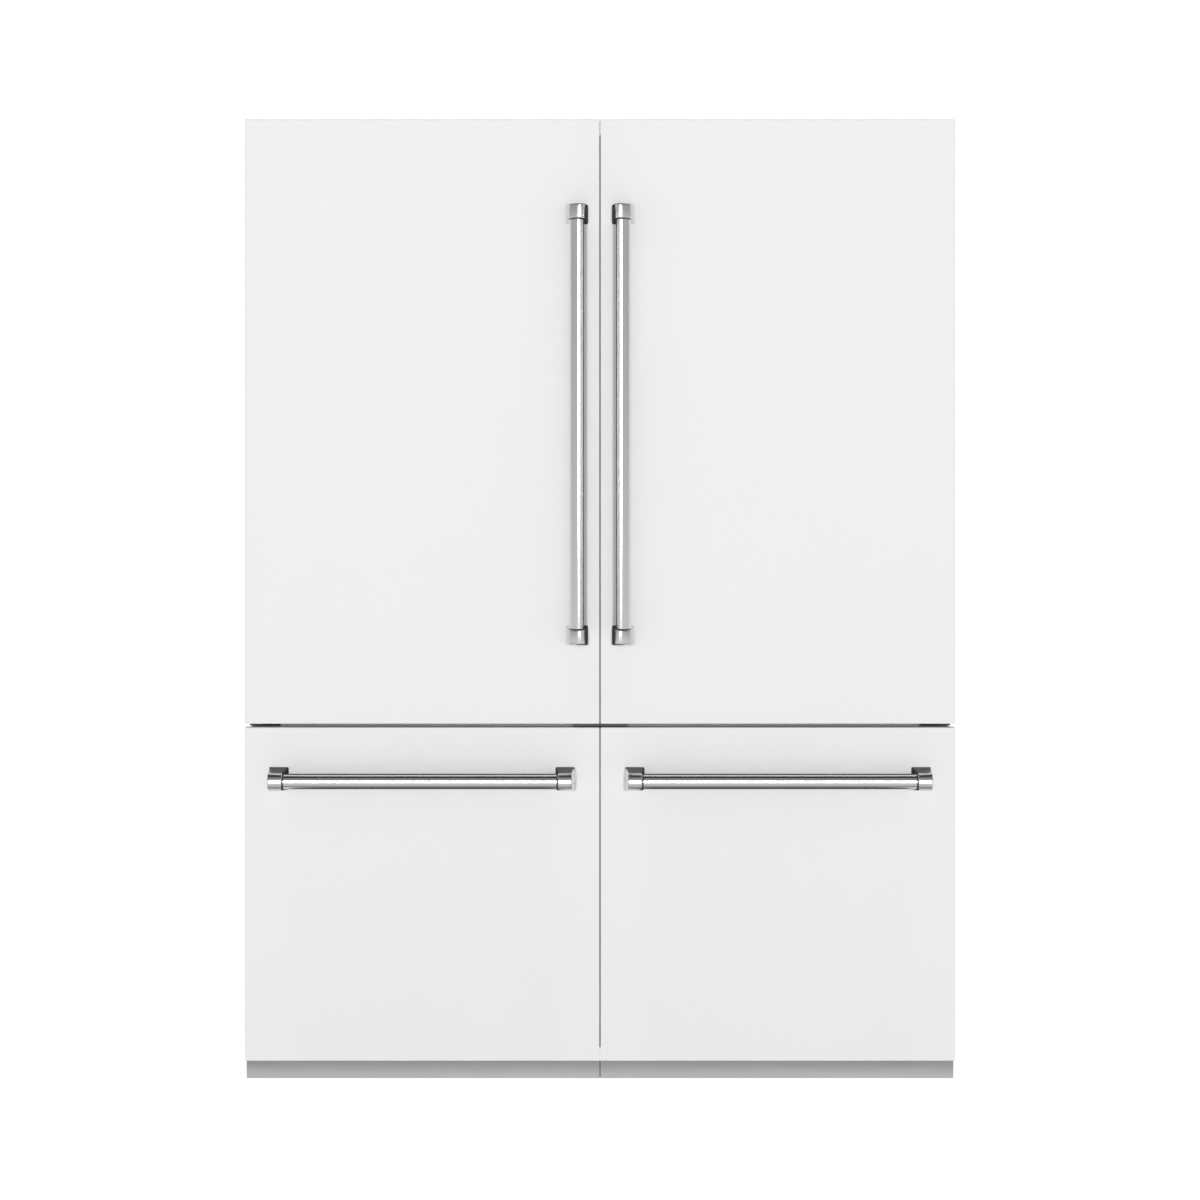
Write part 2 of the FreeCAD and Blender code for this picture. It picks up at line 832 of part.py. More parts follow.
def finned_coil(name, side, us, ps, zs, fins, rows):
    """Tubes across the coil, held in a row of thin fins."""
    parts = []
    width = f"(({us[1]}) - ({us[0]}))"
    depth = f"(({ps[1]}) - ({ps[0]}))"
    height = f"(({zs[1]}) - ({zs[0]}))"
    for index in range(fins):
        start = f"({us[0]}) + ({width} - fin_thick) * {index} / {fins - 1}"
        parts.append(block(
            f"{name}_fin_{index}", side, (start, f"{start} + fin_thick"), ps, zs
        ))
    for row in range(rows):
        for column in (1, 3):
            parts.append(rod(
                f"{name}_tube_{row}_{column}", side, "coil_tube_radius", width, us[0],
                f"({ps[0]}) + {depth} * {column} / 4",
                f"({zs[0]}) + {height} * ({row} + 0.5) / {rows}", "u",
            ))
    return fuse(name, *parts)


def evaporator(side, word):
    return finned_coil(
        f"evaporator_{word}", side, ("cover_in + 8 * coil_gap", "cover_out - 8 * coil_gap"),
        ("cover_p + cover_plate + coil_gap", "room_back - coil_gap"),
        ("step_high + 6 * coil_gap", "cold_fan_z - cold_fan_radius - 6 * coil_gap"), 13, 4,
    )


def condenser(side, word):
    return finned_coil(
        f"condenser_{word}", side, ("condenser_in", "condenser_out"),
        ("machine_front + 4 * coil_gap", "body_depth - 5 * coil_gap"),
        ("machine_floor + coil_gap", "machine_high - 4 * coil_gap"), 9, 3,
    )


def compressor(side, word):
    """A domed steel can, turned about its upright axis, on a flat foot plate."""
    owner = body(f"compressor_{word}")
    profile = sketch(owner, "XZ_Plane", f"compressor_profile_{word}")
    radius, top = "compressor_radius", "compressor_height"
    outline(profile, [
        ("0", "0"), (f"{radius} - 14", "0"), (f"{radius} - 4", "10"), (radius, "24"),
        (radius, f"{top} - 30"), (f"{radius} - 10", f"{top} - 12"),
        (f"{radius} - 28", f"{top} - 2"), (f"{radius} - 45", top), ("0", top),
    ])
    revolve(owner, profile, f"compressor_can_{word}")
    plate = sketch(owner, "XY_Plane", f"compressor_plate_{word}")
    wide, deep = "compressor_radius + foot_plate_side", "compressor_radius - 4"
    outline(plate, [
        (f"-({wide})", f"-({deep})"), (wide, f"-({deep})"),
        (wide, deep), (f"-({wide})", deep),
    ])
    pad(owner, plate, f"compressor_foot_{word}", "foot_plate")
    for index, (x, y) in enumerate(((-1, -1), (1, -1), (1, 1), (-1, 1))):
        grommet = sketch(owner, "XY_Plane", f"grommet_{word}_{index}")
        spot = (f"{x} * compressor_radius", f"{y} * (compressor_radius - 16)")
        circle(grommet, "grommet_radius", *spot)
        pad(owner, grommet, f"grommet_pad_{word}_{index}", "grommet_height", reverse=True)
    middle = across(side, "unit_width - compressor_inset")
    place(owner, middle, behind("machine_mid"), "machine_floor + grommet_height")
    return owner


def fan(label, side, radius, blades, depth, turned, x, y, z):
    """A hub with a shaft bore and slanted blades; its axis is the body's Z before turning."""
    owner = body(label)
    hub = sketch(owner, "XY_Plane", f"{label}_hub")
    circle(hub, f"{radius} * 0.3")
    circle(hub, "fan_shaft_radius + fan_shaft_clearance")
    pad(owner, hub, f"{label}_hub_pad", depth)
    blade = sketch(owner, "XY_Plane", f"{label}_blade")
    outline(blade, [
        (f"{radius} * 0.25", f"-{radius} * 0.13"), (f"{radius} * 0.94", f"-{radius} * 0.3"),
        (f"{radius} * 0.95", f"{radius} * 0.26"), (f"{radius} * 0.25", f"{radius} * 0.13"),
    ])
    vane = pad(owner, blade, f"{label}_blade_pad", f"{depth} * 0.4")
    doc.recompute()
    spin_copies(owner, vane, f"{label}_blades", "Z_Axis", blades)
    turn(owner, *turned)
    place(owner, x, y, z)
    return done(label, owner)


def fan_motors(side, word):
    """For each fan a motor can and the shaft that the fan's hub turns on."""
    middle = ("unit_width / 2", "cold_fan_z", "p")
    can_p, shaft = "room_back - cold_motor_length", "cold_fan_thick + motor_gap"
    cold = fuse(
        f"cold_motor_{word}",
        rod(
            f"cold_can_{word}", side, "cold_motor_radius", "cold_motor_length",
            middle[0], can_p, *middle[1:],
        ),
        rod(
            f"cold_shaft_{word}", side, "fan_shaft_radius", shaft,
            middle[0], f"{can_p} - ({shaft})", *middle[1:],
        ),
    )
    at = ("machine_mid", "warm_fan_z", "u")
    stand_u = "warm_motor_in + warm_motor_length / 2"
    warm = fuse(
        f"warm_motor_{word}",
        rod(
            f"warm_can_{word}", side, "warm_motor_radius", "warm_motor_length",
            "warm_motor_in", *at,
        ),
        rod(
            f"warm_shaft_{word}", side, "fan_shaft_radius", "warm_motor_in - warm_fan_in + 2",
            "warm_fan_in", *at,
        ),
        block(
            f"warm_stand_{word}", side, (stand_u, f"{stand_u} + motor_stand"),
            ("machine_mid - 2 * motor_stand", "machine_mid + 2 * motor_stand"),
            ("machine_floor", "warm_fan_z"),
        ),
    )
    return [cold, warm]


def rear_cover(side, word):
    """The service panel behind the machine space, louvred and pierced for the inlets."""
    plate = block(
        f"rear_{word}_plate", side, ("machine_inner", "machine_outer"),
        ("body_depth - sheet_steel", "body_depth"), ("service_low", "service_top"),
    )
    through = ("body_depth - 5", "body_depth + 5")
    power_hole = block(
        f"rear_{word}_power", side,
        ("power_in - inlet_play", "power_out + inlet_play"), through,
        ("power_low - inlet_play", "power_low + power_inlet_height + inlet_play"),
    )
    water_hole = rod(
        f"rear_{word}_water", side, "water_stub_radius + water_hole_play", "10", "water_in",
        "body_depth - 5", "water_high", "p",
    )
    gap = "(machine_outer - machine_inner - 3 * louvre_length) / 4"
    slots = []
    for bank in range(3):
        start = f"machine_inner + {bank + 1} * {gap} + {bank} * louvre_length"
        for index in range(5):
            top = f"machine_high - louvre_top - {index} * louvre_pitch"
            slots.append(block(
                f"rear_{word}_slot_{bank}_{index}", side,
                (start, f"{start} + louvre_length"), through,
                (f"{top} - louvre_height", top),
            ))
    return cut(f"rear_{word}", plate, power_hole, water_hole, *slots)


def inlets(side, word):
    """The mains socket and the water valve with its threaded stub, flush with the back."""
    power_top = "power_low + power_inlet_height"
    power = block(
        f"power_{word}_body", side, ("power_in", "power_out"),
        ("body_depth - power_inlet_depth", "body_depth"), ("power_low", power_top),
    )
    recess = block(
        f"power_{word}_recess", side, ("power_in + power_wall", "power_out - power_wall"),
        ("body_depth - power_recess", "body_depth + 1"),
        ("power_low + power_wall", f"{power_top} - power_wall"),
    )
    blades = []
    for index in range(3):
        middle = f"power_in + power_inlet_width / 2 + {index - 1} * pin_blade_pitch"
        blades.append(block(
            f"power_{word}_blade_{index}", side, (f"{middle} - 1", f"{middle} + 1"),
            ("body_depth - power_recess - 1", "body_depth - power_wall"),
            ("power_low + power_inlet_height / 2 - 3", "power_low + power_inlet_height / 2 + 3"),
        ))
    cup = cut(f"power_{word}_cup", power, recess)
    stub_p = "body_depth - water_stub_length"
    valve = block(
        f"valve_{word}_body", side,
        ("water_in - water_block / 2", "water_in + water_block / 2"),
        (f"{stub_p} - water_block_depth", stub_p),
        ("water_high - water_block / 2", "water_high + water_block / 2"),
    )
    stub = rod(
        f"valve_{word}_stub", side, "water_stub_radius", "water_stub_length", "water_in",
        stub_p, "water_high", "p",
    )
    bore = rod(
        f"valve_{word}_bore", side, "water_bore", "water_bore_depth + 1", "water_in",
        "body_depth - water_bore_depth", "water_high", "p",
    )
    solid = fuse(f"valve_{word}_solid", valve, stub)
    return [fuse(f"power_{word}", cup, *blades), cut(f"valve_{word}", solid, bore)]


# ---------------------------------------------------------------- hinges and steelwork


def hinge_plate(side, word, name, z, on_top):
    """A flat arm that reaches forward to the hinge axis, with a wide foot behind it."""
    owner = body(name)
    drawing = sketch(owner, "XY_Plane", f"{name}_outline")
    out, inn, nose = f"{side} * arm_outer", f"-{side} * arm_inner", "-arm_nose"
    wall = "cabinet_front - hinge_setback"
    if on_top:
        foot = f"-{side} * (hinge_plate_width - arm_outer)"
        end = f"{wall} + hinge_plate_depth"
        corners = [(out, nose), (out, end), (foot, end), (foot, wall), (inn, wall), (inn, nose)]
    else:
        corners = [(out, nose), (out, wall), (inn, wall), (inn, nose)]
    outline(drawing, corners)
    pad(owner, drawing, f"{name}_pad", "arm_thick")
    place(owner, across(side, "hinge_u"), behind("hinge_setback"), z)
    return owner


def hinges(side, word):
    """The top hinge on the cabinet roof, and the lower one on the strip between the doors."""
    at = ("hinge_u", "hinge_setback")
    top = fuse(
        f"top_hinge_{word}",
        hinge_plate(side, word, f"top_arm_{word}", "cabinet_high", True),
        rod(
            f"top_pin_{word}", side, "pin_radius", "pin_length + 1", *at,
            "cabinet_high - pin_length",
        ),
    )
    arm_low = "split_z - arm_thick / 2"
    flange = block(
        f"low_flange_{word}", side,
        ("hinge_u + arm_outer - flange_width", "hinge_u + arm_outer"),
        ("cabinet_front - hinge_flange", "cabinet_front"),
        ("split_z - flange_half_height", "split_z + flange_half_height"),
    )
    collar_low = f"{arm_low} + arm_thick"
    low = fuse(
        f"low_hinge_{word}",
        hinge_plate(side, word, f"low_arm_{word}", arm_low, False),
        flange,
        rod(
            f"low_collar_{word}", side, "collar_radius",
            f"core_low - collar_gap - ({collar_low})", *at, collar_low,
        ),
        rod(f"low_pin_{word}", side, "pin_radius", "pin_length", *at, collar_low),
    )
    return [top, low]


def joining_brackets():
    """What ties the two cabinets together and to the wall behind them."""
    shelf = middle_block(
        "join_shelf", "join_half", ("join_front", "cabinet_front"),
        ("split_z - 1", "split_z - 1 + join_thick"),
    )
    flange = middle_block(
        "join_flange", "join_half", ("cabinet_front - hinge_flange", "cabinet_front"),
        ("split_z - flange_half_height", "split_z + flange_half_height"),
    )
    roof = middle_block(
        "join_roof", "roof_plate_half",
        ("roof_plate_front", "roof_plate_front + roof_plate_depth"),
        ("cabinet_high", "cabinet_high + plate_thick"),
    )
    filler_p = "cabinet_front + filler_front"
    filler = middle_block(
        "join_filler", "unit_seam / 2 + cabinet_inset - filler_play",
        (filler_p, f"{filler_p} + filler_depth"), ("cabinet_low + 5", "cabinet_high - 5"),
    )
    foot = middle_block(
        "tip_foot", "anti_tip_half", ("body_depth - anti_tip_foot", "body_depth"),
        ("cabinet_high", "cabinet_high + plate_thick"),
    )
    upright = middle_block(
        "tip_upright", "anti_tip_half", ("body_depth - plate_thick", "body_depth"),
        ("cabinet_high", "cabinet_high + anti_tip_height"),
    )
    holes = [
        rod(
            f"tip_hole_{word}", side, "anti_tip_hole_radius", "4 * plate_thick",
            "anti_tip_hole_reach - unit_seam / 2", "body_depth - 2 * plate_thick",
            "cabinet_high + anti_tip_hole_rise", "p",
        )
        for word, side in SIDES
    ]
    tip = cut("anti_tip", fuse("tip_angle", foot, upright), *holes)
    return [fuse("join_front", shelf, flange), roof, filler, tip]


def levelling_feet(side, word):
    feet = []
    for end, u in (("in", "foot_inset"), ("out", "unit_width - foot_inset")):
        feet.append(fuse(
            f"foot_{word}_{end}",
            rod(f"foot_pad_{word}_{end}", side, "foot_radius", "foot_pad", u, "foot_setback", "0"),
            rod(
                f"foot_stem_{word}_{end}", side, "foot_stem", "cabinet_low - foot_pad + 1", u,
                "foot_setback", "foot_pad - 1",
            ),
        ))
    return feet


def roller_places():
    """Where each roller's inner face is, in u."""
    return (
        ("in", "foot_inset - roller_width / 2"),
        ("out", "unit_width - foot_inset - roller_width / 2"),
    )


def roller_forks(side, word):
    """Two cheeks under the cabinet and the axle between them, for each rear roller."""
    forks = []
    ps = ("roller_p - fork_half_depth", "roller_p + fork_half_depth")
    for end, u in roller_places():
        inner = f"{u} - fork_gap - fork_plate"
        outer = f"{u} + roller_width + fork_gap"
        cheeks = [
            block(
                f"cheek_{word}_{end}_{index}", side, (start, f"{start} + fork_plate"), ps,
                ("fork_low", "cabinet_low"),
            )
            for index, start in enumerate((inner, outer))
        ]
        axle = rod(
            f"axle_{word}_{end}", side, "axle_radius",
            "roller_width + 2 * fork_gap + 2 * fork_plate", inner, "roller_p",
            "roller_radius", "u",
        )
        forks.append(fuse(f"fork_{word}_{end}", axle, *cheeks))
    return forks


def rear_rollers(side, word):
    """Both rollers of one cabinet, turned about the sketch's upright axis, then laid over."""
    rollers = []
    for end, u in roller_places():
        owner = body(f"roller_{word}_{end}")
        profile = sketch(owner, "XZ_Plane", f"roller_profile_{word}_{end}")
        bore = "axle_radius + axle_clearance"
        outline(profile, [
            (bore, "0"), ("roller_radius - 2", "0"), ("roller_radius", "2"),
            ("roller_radius", "roller_width - 2"), ("roller_radius - 2", "roller_width"),
            (bore, "roller_width"),
        ])
        revolve(owner, profile, f"roller_turned_{word}_{end}")
        turn(owner, (0, 1, 0), 90 * side)
        place(owner, across(side, u), behind("roller_p"), "roller_radius")
        rollers.append(owner)
    return group(f"rear_rollers_{word}", rollers)


def toe_kick(side, word):
    """A folded strip: upright face, shelf behind its top edge, and a hook to the cabinet."""
    owner = body(f"toe_kick_{word}")
    profile = sketch(owner, "YZ_Plane", f"toe_profile_{word}")
    sheet, front, back = "toe_sheet", "toe_setback", "toe_setback + toe_shelf"
    outline(profile, [
        (front, "toe_lift"), (f"{front} + {sheet}", "toe_lift"),
        (f"{front} + {sheet}", f"toe_high - {sheet}"), (back, f"toe_high - {sheet}"),
        (back, "cabinet_low"), (f"{back} - {sheet}", "cabinet_low"),
        (f"{back} - {sheet}", "toe_high"), (front, "toe_high"),
    ])
    pad(owner, profile, f"toe_strip_{word}", "unit_width - toe_inset", midplane=True)
    place(owner, across(side, "(unit_width - toe_inset) / 2"), "face_y", "0")
    return owner


# ---------------------------------------------------------------- doors and drawers


def front_panel(label, side, low, high):
    """A shallow steel pan, open behind, with a small round on its front edges and corners."""
    owner = body(label)
    drawing = sketch(owner, "XZ_Plane", f"{label}_outline")
    near, far = across(side, "0"), across(side, "unit_width")
    outline(drawing, [(near, low), (far, low), (far, high), (near, high)])
    slab = pad(owner, drawing, f"{label}_slab", "panel_thick", reverse=True)
    owner.Placement.Base = FreeCAD.Vector(0, number("face_y"), 0)
    bind(owner, "Placement.Base.y", "face_y")
    thick = number("panel_thick")

    def at_front(edge):
        box = edge.BoundBox
        return box.YMax < thick / 2 or box.YLength > thick / 2

    round_edges(owner, slab, f"{label}_round", "panel_round", at_front)
    hollow = sketch(owner, "XZ_Plane", f"{label}_hollow")
    bind(hollow, "AttachmentOffset.Base.z", "-panel_thick")
    near, far = across(side, "panel_sheet"), across(side, "unit_width - panel_sheet")
    bottom, top = f"{low} + panel_sheet", f"{high} - panel_sheet"
    outline(hollow, [(near, bottom), (far, bottom), (far, top), (near, top)])
    pocket(owner, hollow, f"{label}_pan", "panel_thick - panel_sheet", reverse=True)
    return done(label, owner)


def gasket(label, side, low, high, seam_margin, hinge_margin):
    """The magnetic seal, a hollow-looking frame between the door and the cabinet face."""
    seal = ring(
        label, side, (seam_margin, hinge_margin),
        ("core_back", "cabinet_front - gasket_squeeze"), (low, high), "gasket_width",
    )
    return done(label, seal)


def handle_bracket(name, side, along, start, end, axis_u, axis_z):
    """A post that wraps the tube in a round nose and widens towards the panel.

    Along the tube it tapers from bracket_base at the panel to bracket_front. Across the tube
    its sides lean out from the nose by bracket_lean for each millimetre of reach.
    """
    reach = "handle_reach"
    slope = "(bracket_base - bracket_front) / 2"
    upright = along == "z"
    tapered = body(f"{name}_taper")
    profile = sketch(tapered, "YZ_Plane" if upright else "XY_Plane", f"{name}_profile")
    if upright:
        corners = [("0", start), (f"-({reach})", f"{start} + {slope}"),
                   (f"-({reach})", f"{end} - {slope}"), ("0", end)]
    else:
        corners = [(across(side, start), "0"),
                   (across(side, f"{start} + {slope}"), f"-({reach})"),
                   (across(side, f"{end} - {slope}"), f"-({reach})"), (across(side, end), "0")]
    outline(profile, corners)
    pad(tapered, profile, f"{name}_taper_pad", "2 * bracket_foot", midplane=True)

    leaning = body(f"{name}_lean")
    section = sketch(leaning, "XY_Plane" if upright else "YZ_Plane", f"{name}_section")
    points = [("-(bracket_foot)", "0"), ("-(bracket_nose)", f"-({reach})"),
              ("bracket_nose", f"-({reach})"), ("bracket_foot", "0")]
    outline(section, points if upright else [point[::-1] for point in points])
    block_feature = pad(leaning, section, f"{name}_lean_pad", "bracket_base", midplane=True)
    nose = -number(reach)

    def on_nose(edge):
        box = edge.BoundBox
        length = box.ZLength if upright else box.XLength
        return box.YMax < nose + 0.01 and length > 1

    round_edges(leaning, block_feature, f"{name}_nose", "ring_radius", on_nose)
    middle = f"({start} + {end}) / 2"
    if upright:
        place(tapered, across(side, axis_u), "face_y", "0")
        place(leaning, across(side, axis_u), "face_y", middle)
    else:
        place(tapered, "0", "face_y", axis_z)
        place(leaning, across(side, middle), "face_y", axis_z)
    return common(name, tapered, leaning)


def handle(word, side, kind, along, low, length, axis_u, axis_z):
    """A straight tube held near its ends by two brackets."""
    start = f"{low} + tube_end_wall"
    span = f"{length} - 2 * tube_end_wall"
    bar = body(f"{kind}_handle_bar_{word}")
    end_circle = sketch(bar, "XY_Plane", f"{kind}_tube_section_{word}")
    circle(end_circle, "tube_radius")
    circle(end_circle, "tube_radius - tube_wall")
    pad(bar, end_circle, f"{kind}_tube_{word}", span)
    if along == "z":
        place(bar, across(side, axis_u), behind("-handle_standoff"), start)
    else:
        turn(bar, (0, 1, 0), 90 * side)
        place(bar, across(side, start), behind("-handle_standoff"), axis_z)
    brackets = []
    for end, first, last in (
        ("low", low, f"{low} + bracket_base"),
        ("high", f"{low} + {length} - bracket_base", f"{low} + {length}"),
    ):
        name = f"{kind}_bracket_{word}_{end}"
        post = handle_bracket(f"{name}_post", side, along, first, last, axis_u, axis_z)
        radius = "tube_radius + tube_clearance"
        if along == "z":
            bore = rod(f"{name}_bore", side, radius, span, axis_u, "-handle_standoff", start)
        else:
            bore = rod(
                f"{name}_bore", side, radius, span, start, "-handle_standoff", axis_z, "u"
            )
        brackets.append(cut(name, post, bore))
    done(f"{kind}_handle_bar_{word}", bar)
    group(f"{kind}_handle_brackets_{word}", brackets)


def insulated_slab(name, side, panel_zs, core_zs):
    """The foam that fills the panel's pan and the slab behind it."""
    filling = block(
        f"{name}_filling", side, ("panel_sheet", "unit_width - panel_sheet"),
        ("panel_sheet", "panel_thick"),
        (f"{panel_zs[0]} + panel_sheet", f"{panel_zs[1]} - panel_sheet"),
    )
    slab = block(
        f"{name}_slab", side, ("core_inset", "unit_width - core_inset"),
        ("panel_thick", "core_back"), core_zs,
    )
    return fuse(f"{name}_solid", filling, slab)


def door_core(side, word):
    """The insulated slab behind the panel, bored for the two hinge pins."""
    slab = insulated_slab(
        f"door_core_{word}", side, ("door_low", "door_high"), ("core_low", "core_high")
    )
    at = ("hinge_u", "hinge_setback")
    radius, depth = "pin_radius + pin_clearance", "pin_length + bore_spare"
    top_bore = rod(f"top_bore_{word}", side, radius, f"{depth} + 5", *at, f"core_high - ({depth})")
    low_bore = rod(f"low_bore_{word}", side, radius, f"{depth} + 5", *at, "core_low - 5")
    return done(f"door_core_{word}", cut(f"door_core_{word}", slab, top_bore, low_bore))


def door_liner(side, word):
    """The moulded inner sheet with the raised frame that carries the bins."""
    sheet = block(
        f"door_liner_sheet_{word}", side, ("cavity_inner + 2", "cavity_outer - 2"),
        ("core_back", "core_back + liner_sheet"),
        ("fridge_floor - 5", "fridge_ceiling + 6"),
    )
    frame = ring(
        f"door_ridge_{word}", side, ("ridge_in", "ridge_out"),
        ("core_back + liner_sheet", "core_back + liner_sheet + ridge_depth"),
        ("ridge_low", "ridge_top"), "ridge_width",
    )
    return done(f"door_liner_{word}", fuse(f"door_liner_{word}", sheet, frame))


def door_bins(side, word):
    """Four bins; the lowest stops short of the hinge side, where the crisper comes out."""
    bins = []
    front = "core_back + liner_sheet"
    for index in range(4):
        out = "ridge_out - ridge_width - bin_side_gap"
        if index == 0:
            out = "hinge_u - low_bin_hinge_gap"
        low = f"fridge_floor + bin_first + {index} * bin_pitch"
        bins.append(tray_shape(
            f"door_bin_{word}_{index}", side, ("ridge_in + ridge_width + bin_side_gap", out),
            (front, f"{front} + bin_depth"), (low, f"{low} + bin_height"), "bin_wall",
        ))
    return group(f"door_bins_{word}", bins)


def door(side, word):
    front_panel(f"door_panel_{word}", side, "door_low", "door_high")
    door_core(side, word)
    door_liner(side, word)
    gasket(
        f"door_gasket_{word}", side, "fridge_floor - 25", "fridge_ceiling + 26",
        "cavity_inner - gasket_width - 2", "cavity_outer + gasket_width + 2",
    )
    handle(
        word, side, "door", "z", "door_handle_low", "door_handle_length",
        "door_handle_inset", "0",
    )
    door_bins(side, word)


def crisper(side, word):
    """The produce drawer, with a lip along the top of its front to pull it by."""
    us, front = ("crisper_in", "crisper_out"), "crisper_p"
    top = "crisper_z + crisper_height"
    box = tray_shape(
        f"crisper_{word}_box", side, us, (front, f"{front} + crisper_depth"),
        ("crisper_z", top), "crisper_wall",
    )
    lip = block(
        f"crisper_{word}_lip", side, (f"{us[0]} + lip_inset", f"{us[1]} - lip_inset"),
        (f"{front} - lip_depth", f"{front} + 1"), (f"{top} - lip_height", top),
    )
    return done(f"crisper_{word}", fuse(f"crisper_{word}", box, lip))


def channel(name, side, wall, start, end, low, high, ps):
    """A C-shaped rail section that opens away from the cavity wall."""
    sheet = "rail_sheet"

    def strip(part, depth, zs):
        us = (start, depth) if wall == "in" else (depth, start)
        near = f"room_inner + ({us[0]})" if wall == "in" else f"room_outer - ({us[0]})"
        far = f"room_inner + ({us[1]})" if wall == "in" else f"room_outer - ({us[1]})"
        return block(f"{name}_{part}", side, (near, far), ps, zs)

    return fuse(
        name,
        strip("web", f"({start}) + {sheet}", (low, high)),
        strip("floor", end, (low, f"{low} + {sheet}")),
        strip("roof", end, (f"{high} - {sheet}", high)),
    )


def rails(side, word):
    """Three-part slides on both walls of the freezer: fixed, middle and drawer members."""
    outer, middle, inner = [], [], []
    ps = ("rail_p", "rail_p + rail_length")
    for wall in ("in", "out"):
        tag = f"{word}_{wall}"
        outer.append(channel(
            f"rail_outer_{tag}", side, wall, "0", "rail_flange", "rail_low", "rail_top", ps
        ))
        gap = "rail_sheet + rail_play"
        middle.append(channel(
            f"rail_middle_{tag}", side, wall, gap, "rail_flange",
            f"rail_low + {gap}", f"rail_top - ({gap})",
            ("rail_p + rail_stop", "rail_p + rail_length"),
        ))
        edges = ("bar_start", "bar_end")
        strip = ("bar_end - guide_width", "bar_end")
        if wall == "in":
            us = tuple(f"room_inner + {edge}" for edge in edges)
            guide = tuple(f"room_inner + {edge}" for edge in strip)
        else:
            us = tuple(f"room_outer - ({edge})" for edge in reversed(edges))
            guide = tuple(f"room_outer - ({edge})" for edge in reversed(strip))
        end = "core_back + rail_length"
        inner.append(fuse(
            f"rail_inner_{tag}",
            block(f"bar_{tag}", side, us, ("core_back", end), ("bar_low", "bar_top")),
            block(
                f"guide_{tag}", side, guide,
                ("fbin_p + freezer_bin_depth + rim_overhang + 0.5", end),
                ("bar_top", "rim_top"),
            ),
        ))
    group(f"rails_middle_{word}", middle)
    group(f"rails_inner_{word}", inner)
    return outer


def freezer_bin(side, word):
    """The deep bin, hung by its rim between the two slides."""
    us, front, back = ("fbin_in", "fbin_out"), "fbin_p", "fbin_p + freezer_bin_depth"
    tub = tray_shape(
        f"freezer_tub_box_{word}", side, us, (front, back), ("fbin_z", "bar_top"),
        "freezer_bin_wall",
    )
    rim_plate = block(
        f"freezer_rim_plate_{word}", side, ("rim_in", "rim_out"),
        (f"{front} - rim_overhang", f"{back} + rim_overhang"), ("bar_top", "rim_top"),
    )
    wall = "freezer_bin_wall"
    mouth = block(
        f"freezer_rim_mouth_{word}", side, (f"{us[0]} + {wall}", f"{us[1]} - {wall}"),
        (f"{front} + {wall}", f"{back} - {wall}"), ("bar_top - 1", "rim_top + 1"),
    )
    rim = cut(f"freezer_rim_{word}", rim_plate, mouth)
    return done(f"freezer_bin_{word}", fuse(f"freezer_bin_{word}", tub, rim))


def freezer_tray(side, word):
    """The shallow tray that slides back over the deep bin on its rim."""
    floor_z = "rim_top + tray_play"
    ps = ("tray_p", "tray_p + tray_depth")
    floor = block(
        f"tray_floor_{word}", side, ("rim_in", "rim_out"), ps,
        (floor_z, f"{floor_z} + freezer_bin_wall"),
    )
    walls = tray_shape(
        f"tray_walls_{word}", side, ("fbin_in + tray_inset", "fbin_out - tray_inset"), ps,
        (floor_z, f"{floor_z} + tray_height"), "freezer_bin_wall",
    )
    return done(f"freezer_tray_{word}", fuse(f"freezer_tray_{word}", floor, walls))


def drawer(side, word):
    front_panel(f"drawer_panel_{word}", side, "drawer_bottom", "drawer_high")
    done(f"drawer_core_{word}", insulated_slab(
        f"drawer_core_{word}", side, ("drawer_bottom", "drawer_high"),
        ("drawer_core_low", "drawer_core_high"),
    ))
    gasket(
        f"drawer_gasket_{word}", side, "freezer_floor - 33", "freezer_ceiling + 23",
        "cavity_inner - gasket_width - 2", "cavity_outer + gasket_width + 2",
    )
    handle(
        word, side, "drawer", "x", "(unit_width - drawer_handle_length) / 2",
        "drawer_handle_length", "0", "drawer_high - drawer_handle_drop",
    )
    freezer_bin(side, word)
    freezer_tray(side, word)


# ---------------------------------------------------------------- the whole object


def both(label, make):
    """One node that holds what the function makes for the left and the right cabinet."""
    parts = []
    for word, side in SIDES:
        made = make(side, word)
        parts.extend(made if isinstance(made, list) else [made])
    return group(label, parts)


def build():
    both("cabinet_shells", cabinet_shell)
    both("cabinet_liners", lambda side, word: [fridge_liner(side, word), freezer_liner(side, word)])
    glass, frames = [], []
    for word, side in SIDES:
        cabinet_foam(side, word)
        panes, rims = shelves(side, word)
        glass += panes
        frames += rims
    group("shelf_glass", glass)
    group("shelf_frames", frames)
    both("ceiling_modules", ceiling_module)
    both("air_ducts", air_ducts)
    both("evaporators", evaporator)
    both("compressors", compressor)
    both("condensers", condenser)
    both("fan_motors", fan_motors)
    both("rear_covers", rear_cover)
    both("inlets", inlets)
    both("hinge_brackets", hinges)
    group("joining_brackets", joining_brackets())
    both("levelling_feet", levelling_feet)
    both("roller_forks", roller_forks)
    both("toe_kicks", toe_kick)
    outer_rails = []
    for word, side in SIDES:
        door(side, word)
        crisper(side, word)
        drawer(side, word)
        outer_rails += rails(side, word)
        rear_rollers(side, word)
        fan(
            f"evaporator_fan_{word}", side, "cold_fan_radius", 5, "cold_fan_thick",
            ((1, 0, 0), -90), across(side, "unit_width / 2"),
            behind("room_back - cold_motor_length - cold_fan_thick - motor_gap"),
            "cold_fan_z",
        )
        fan(
            f"condenser_fan_{word}", side, "warm_fan_radius", 5, "warm_fan_thick",
            ((0, 1, 0), 90 * side), across(side, "warm_fan_in"), behind("machine_mid"),
            "warm_fan_z",
        )
    group("outer_rails", outer_rails)


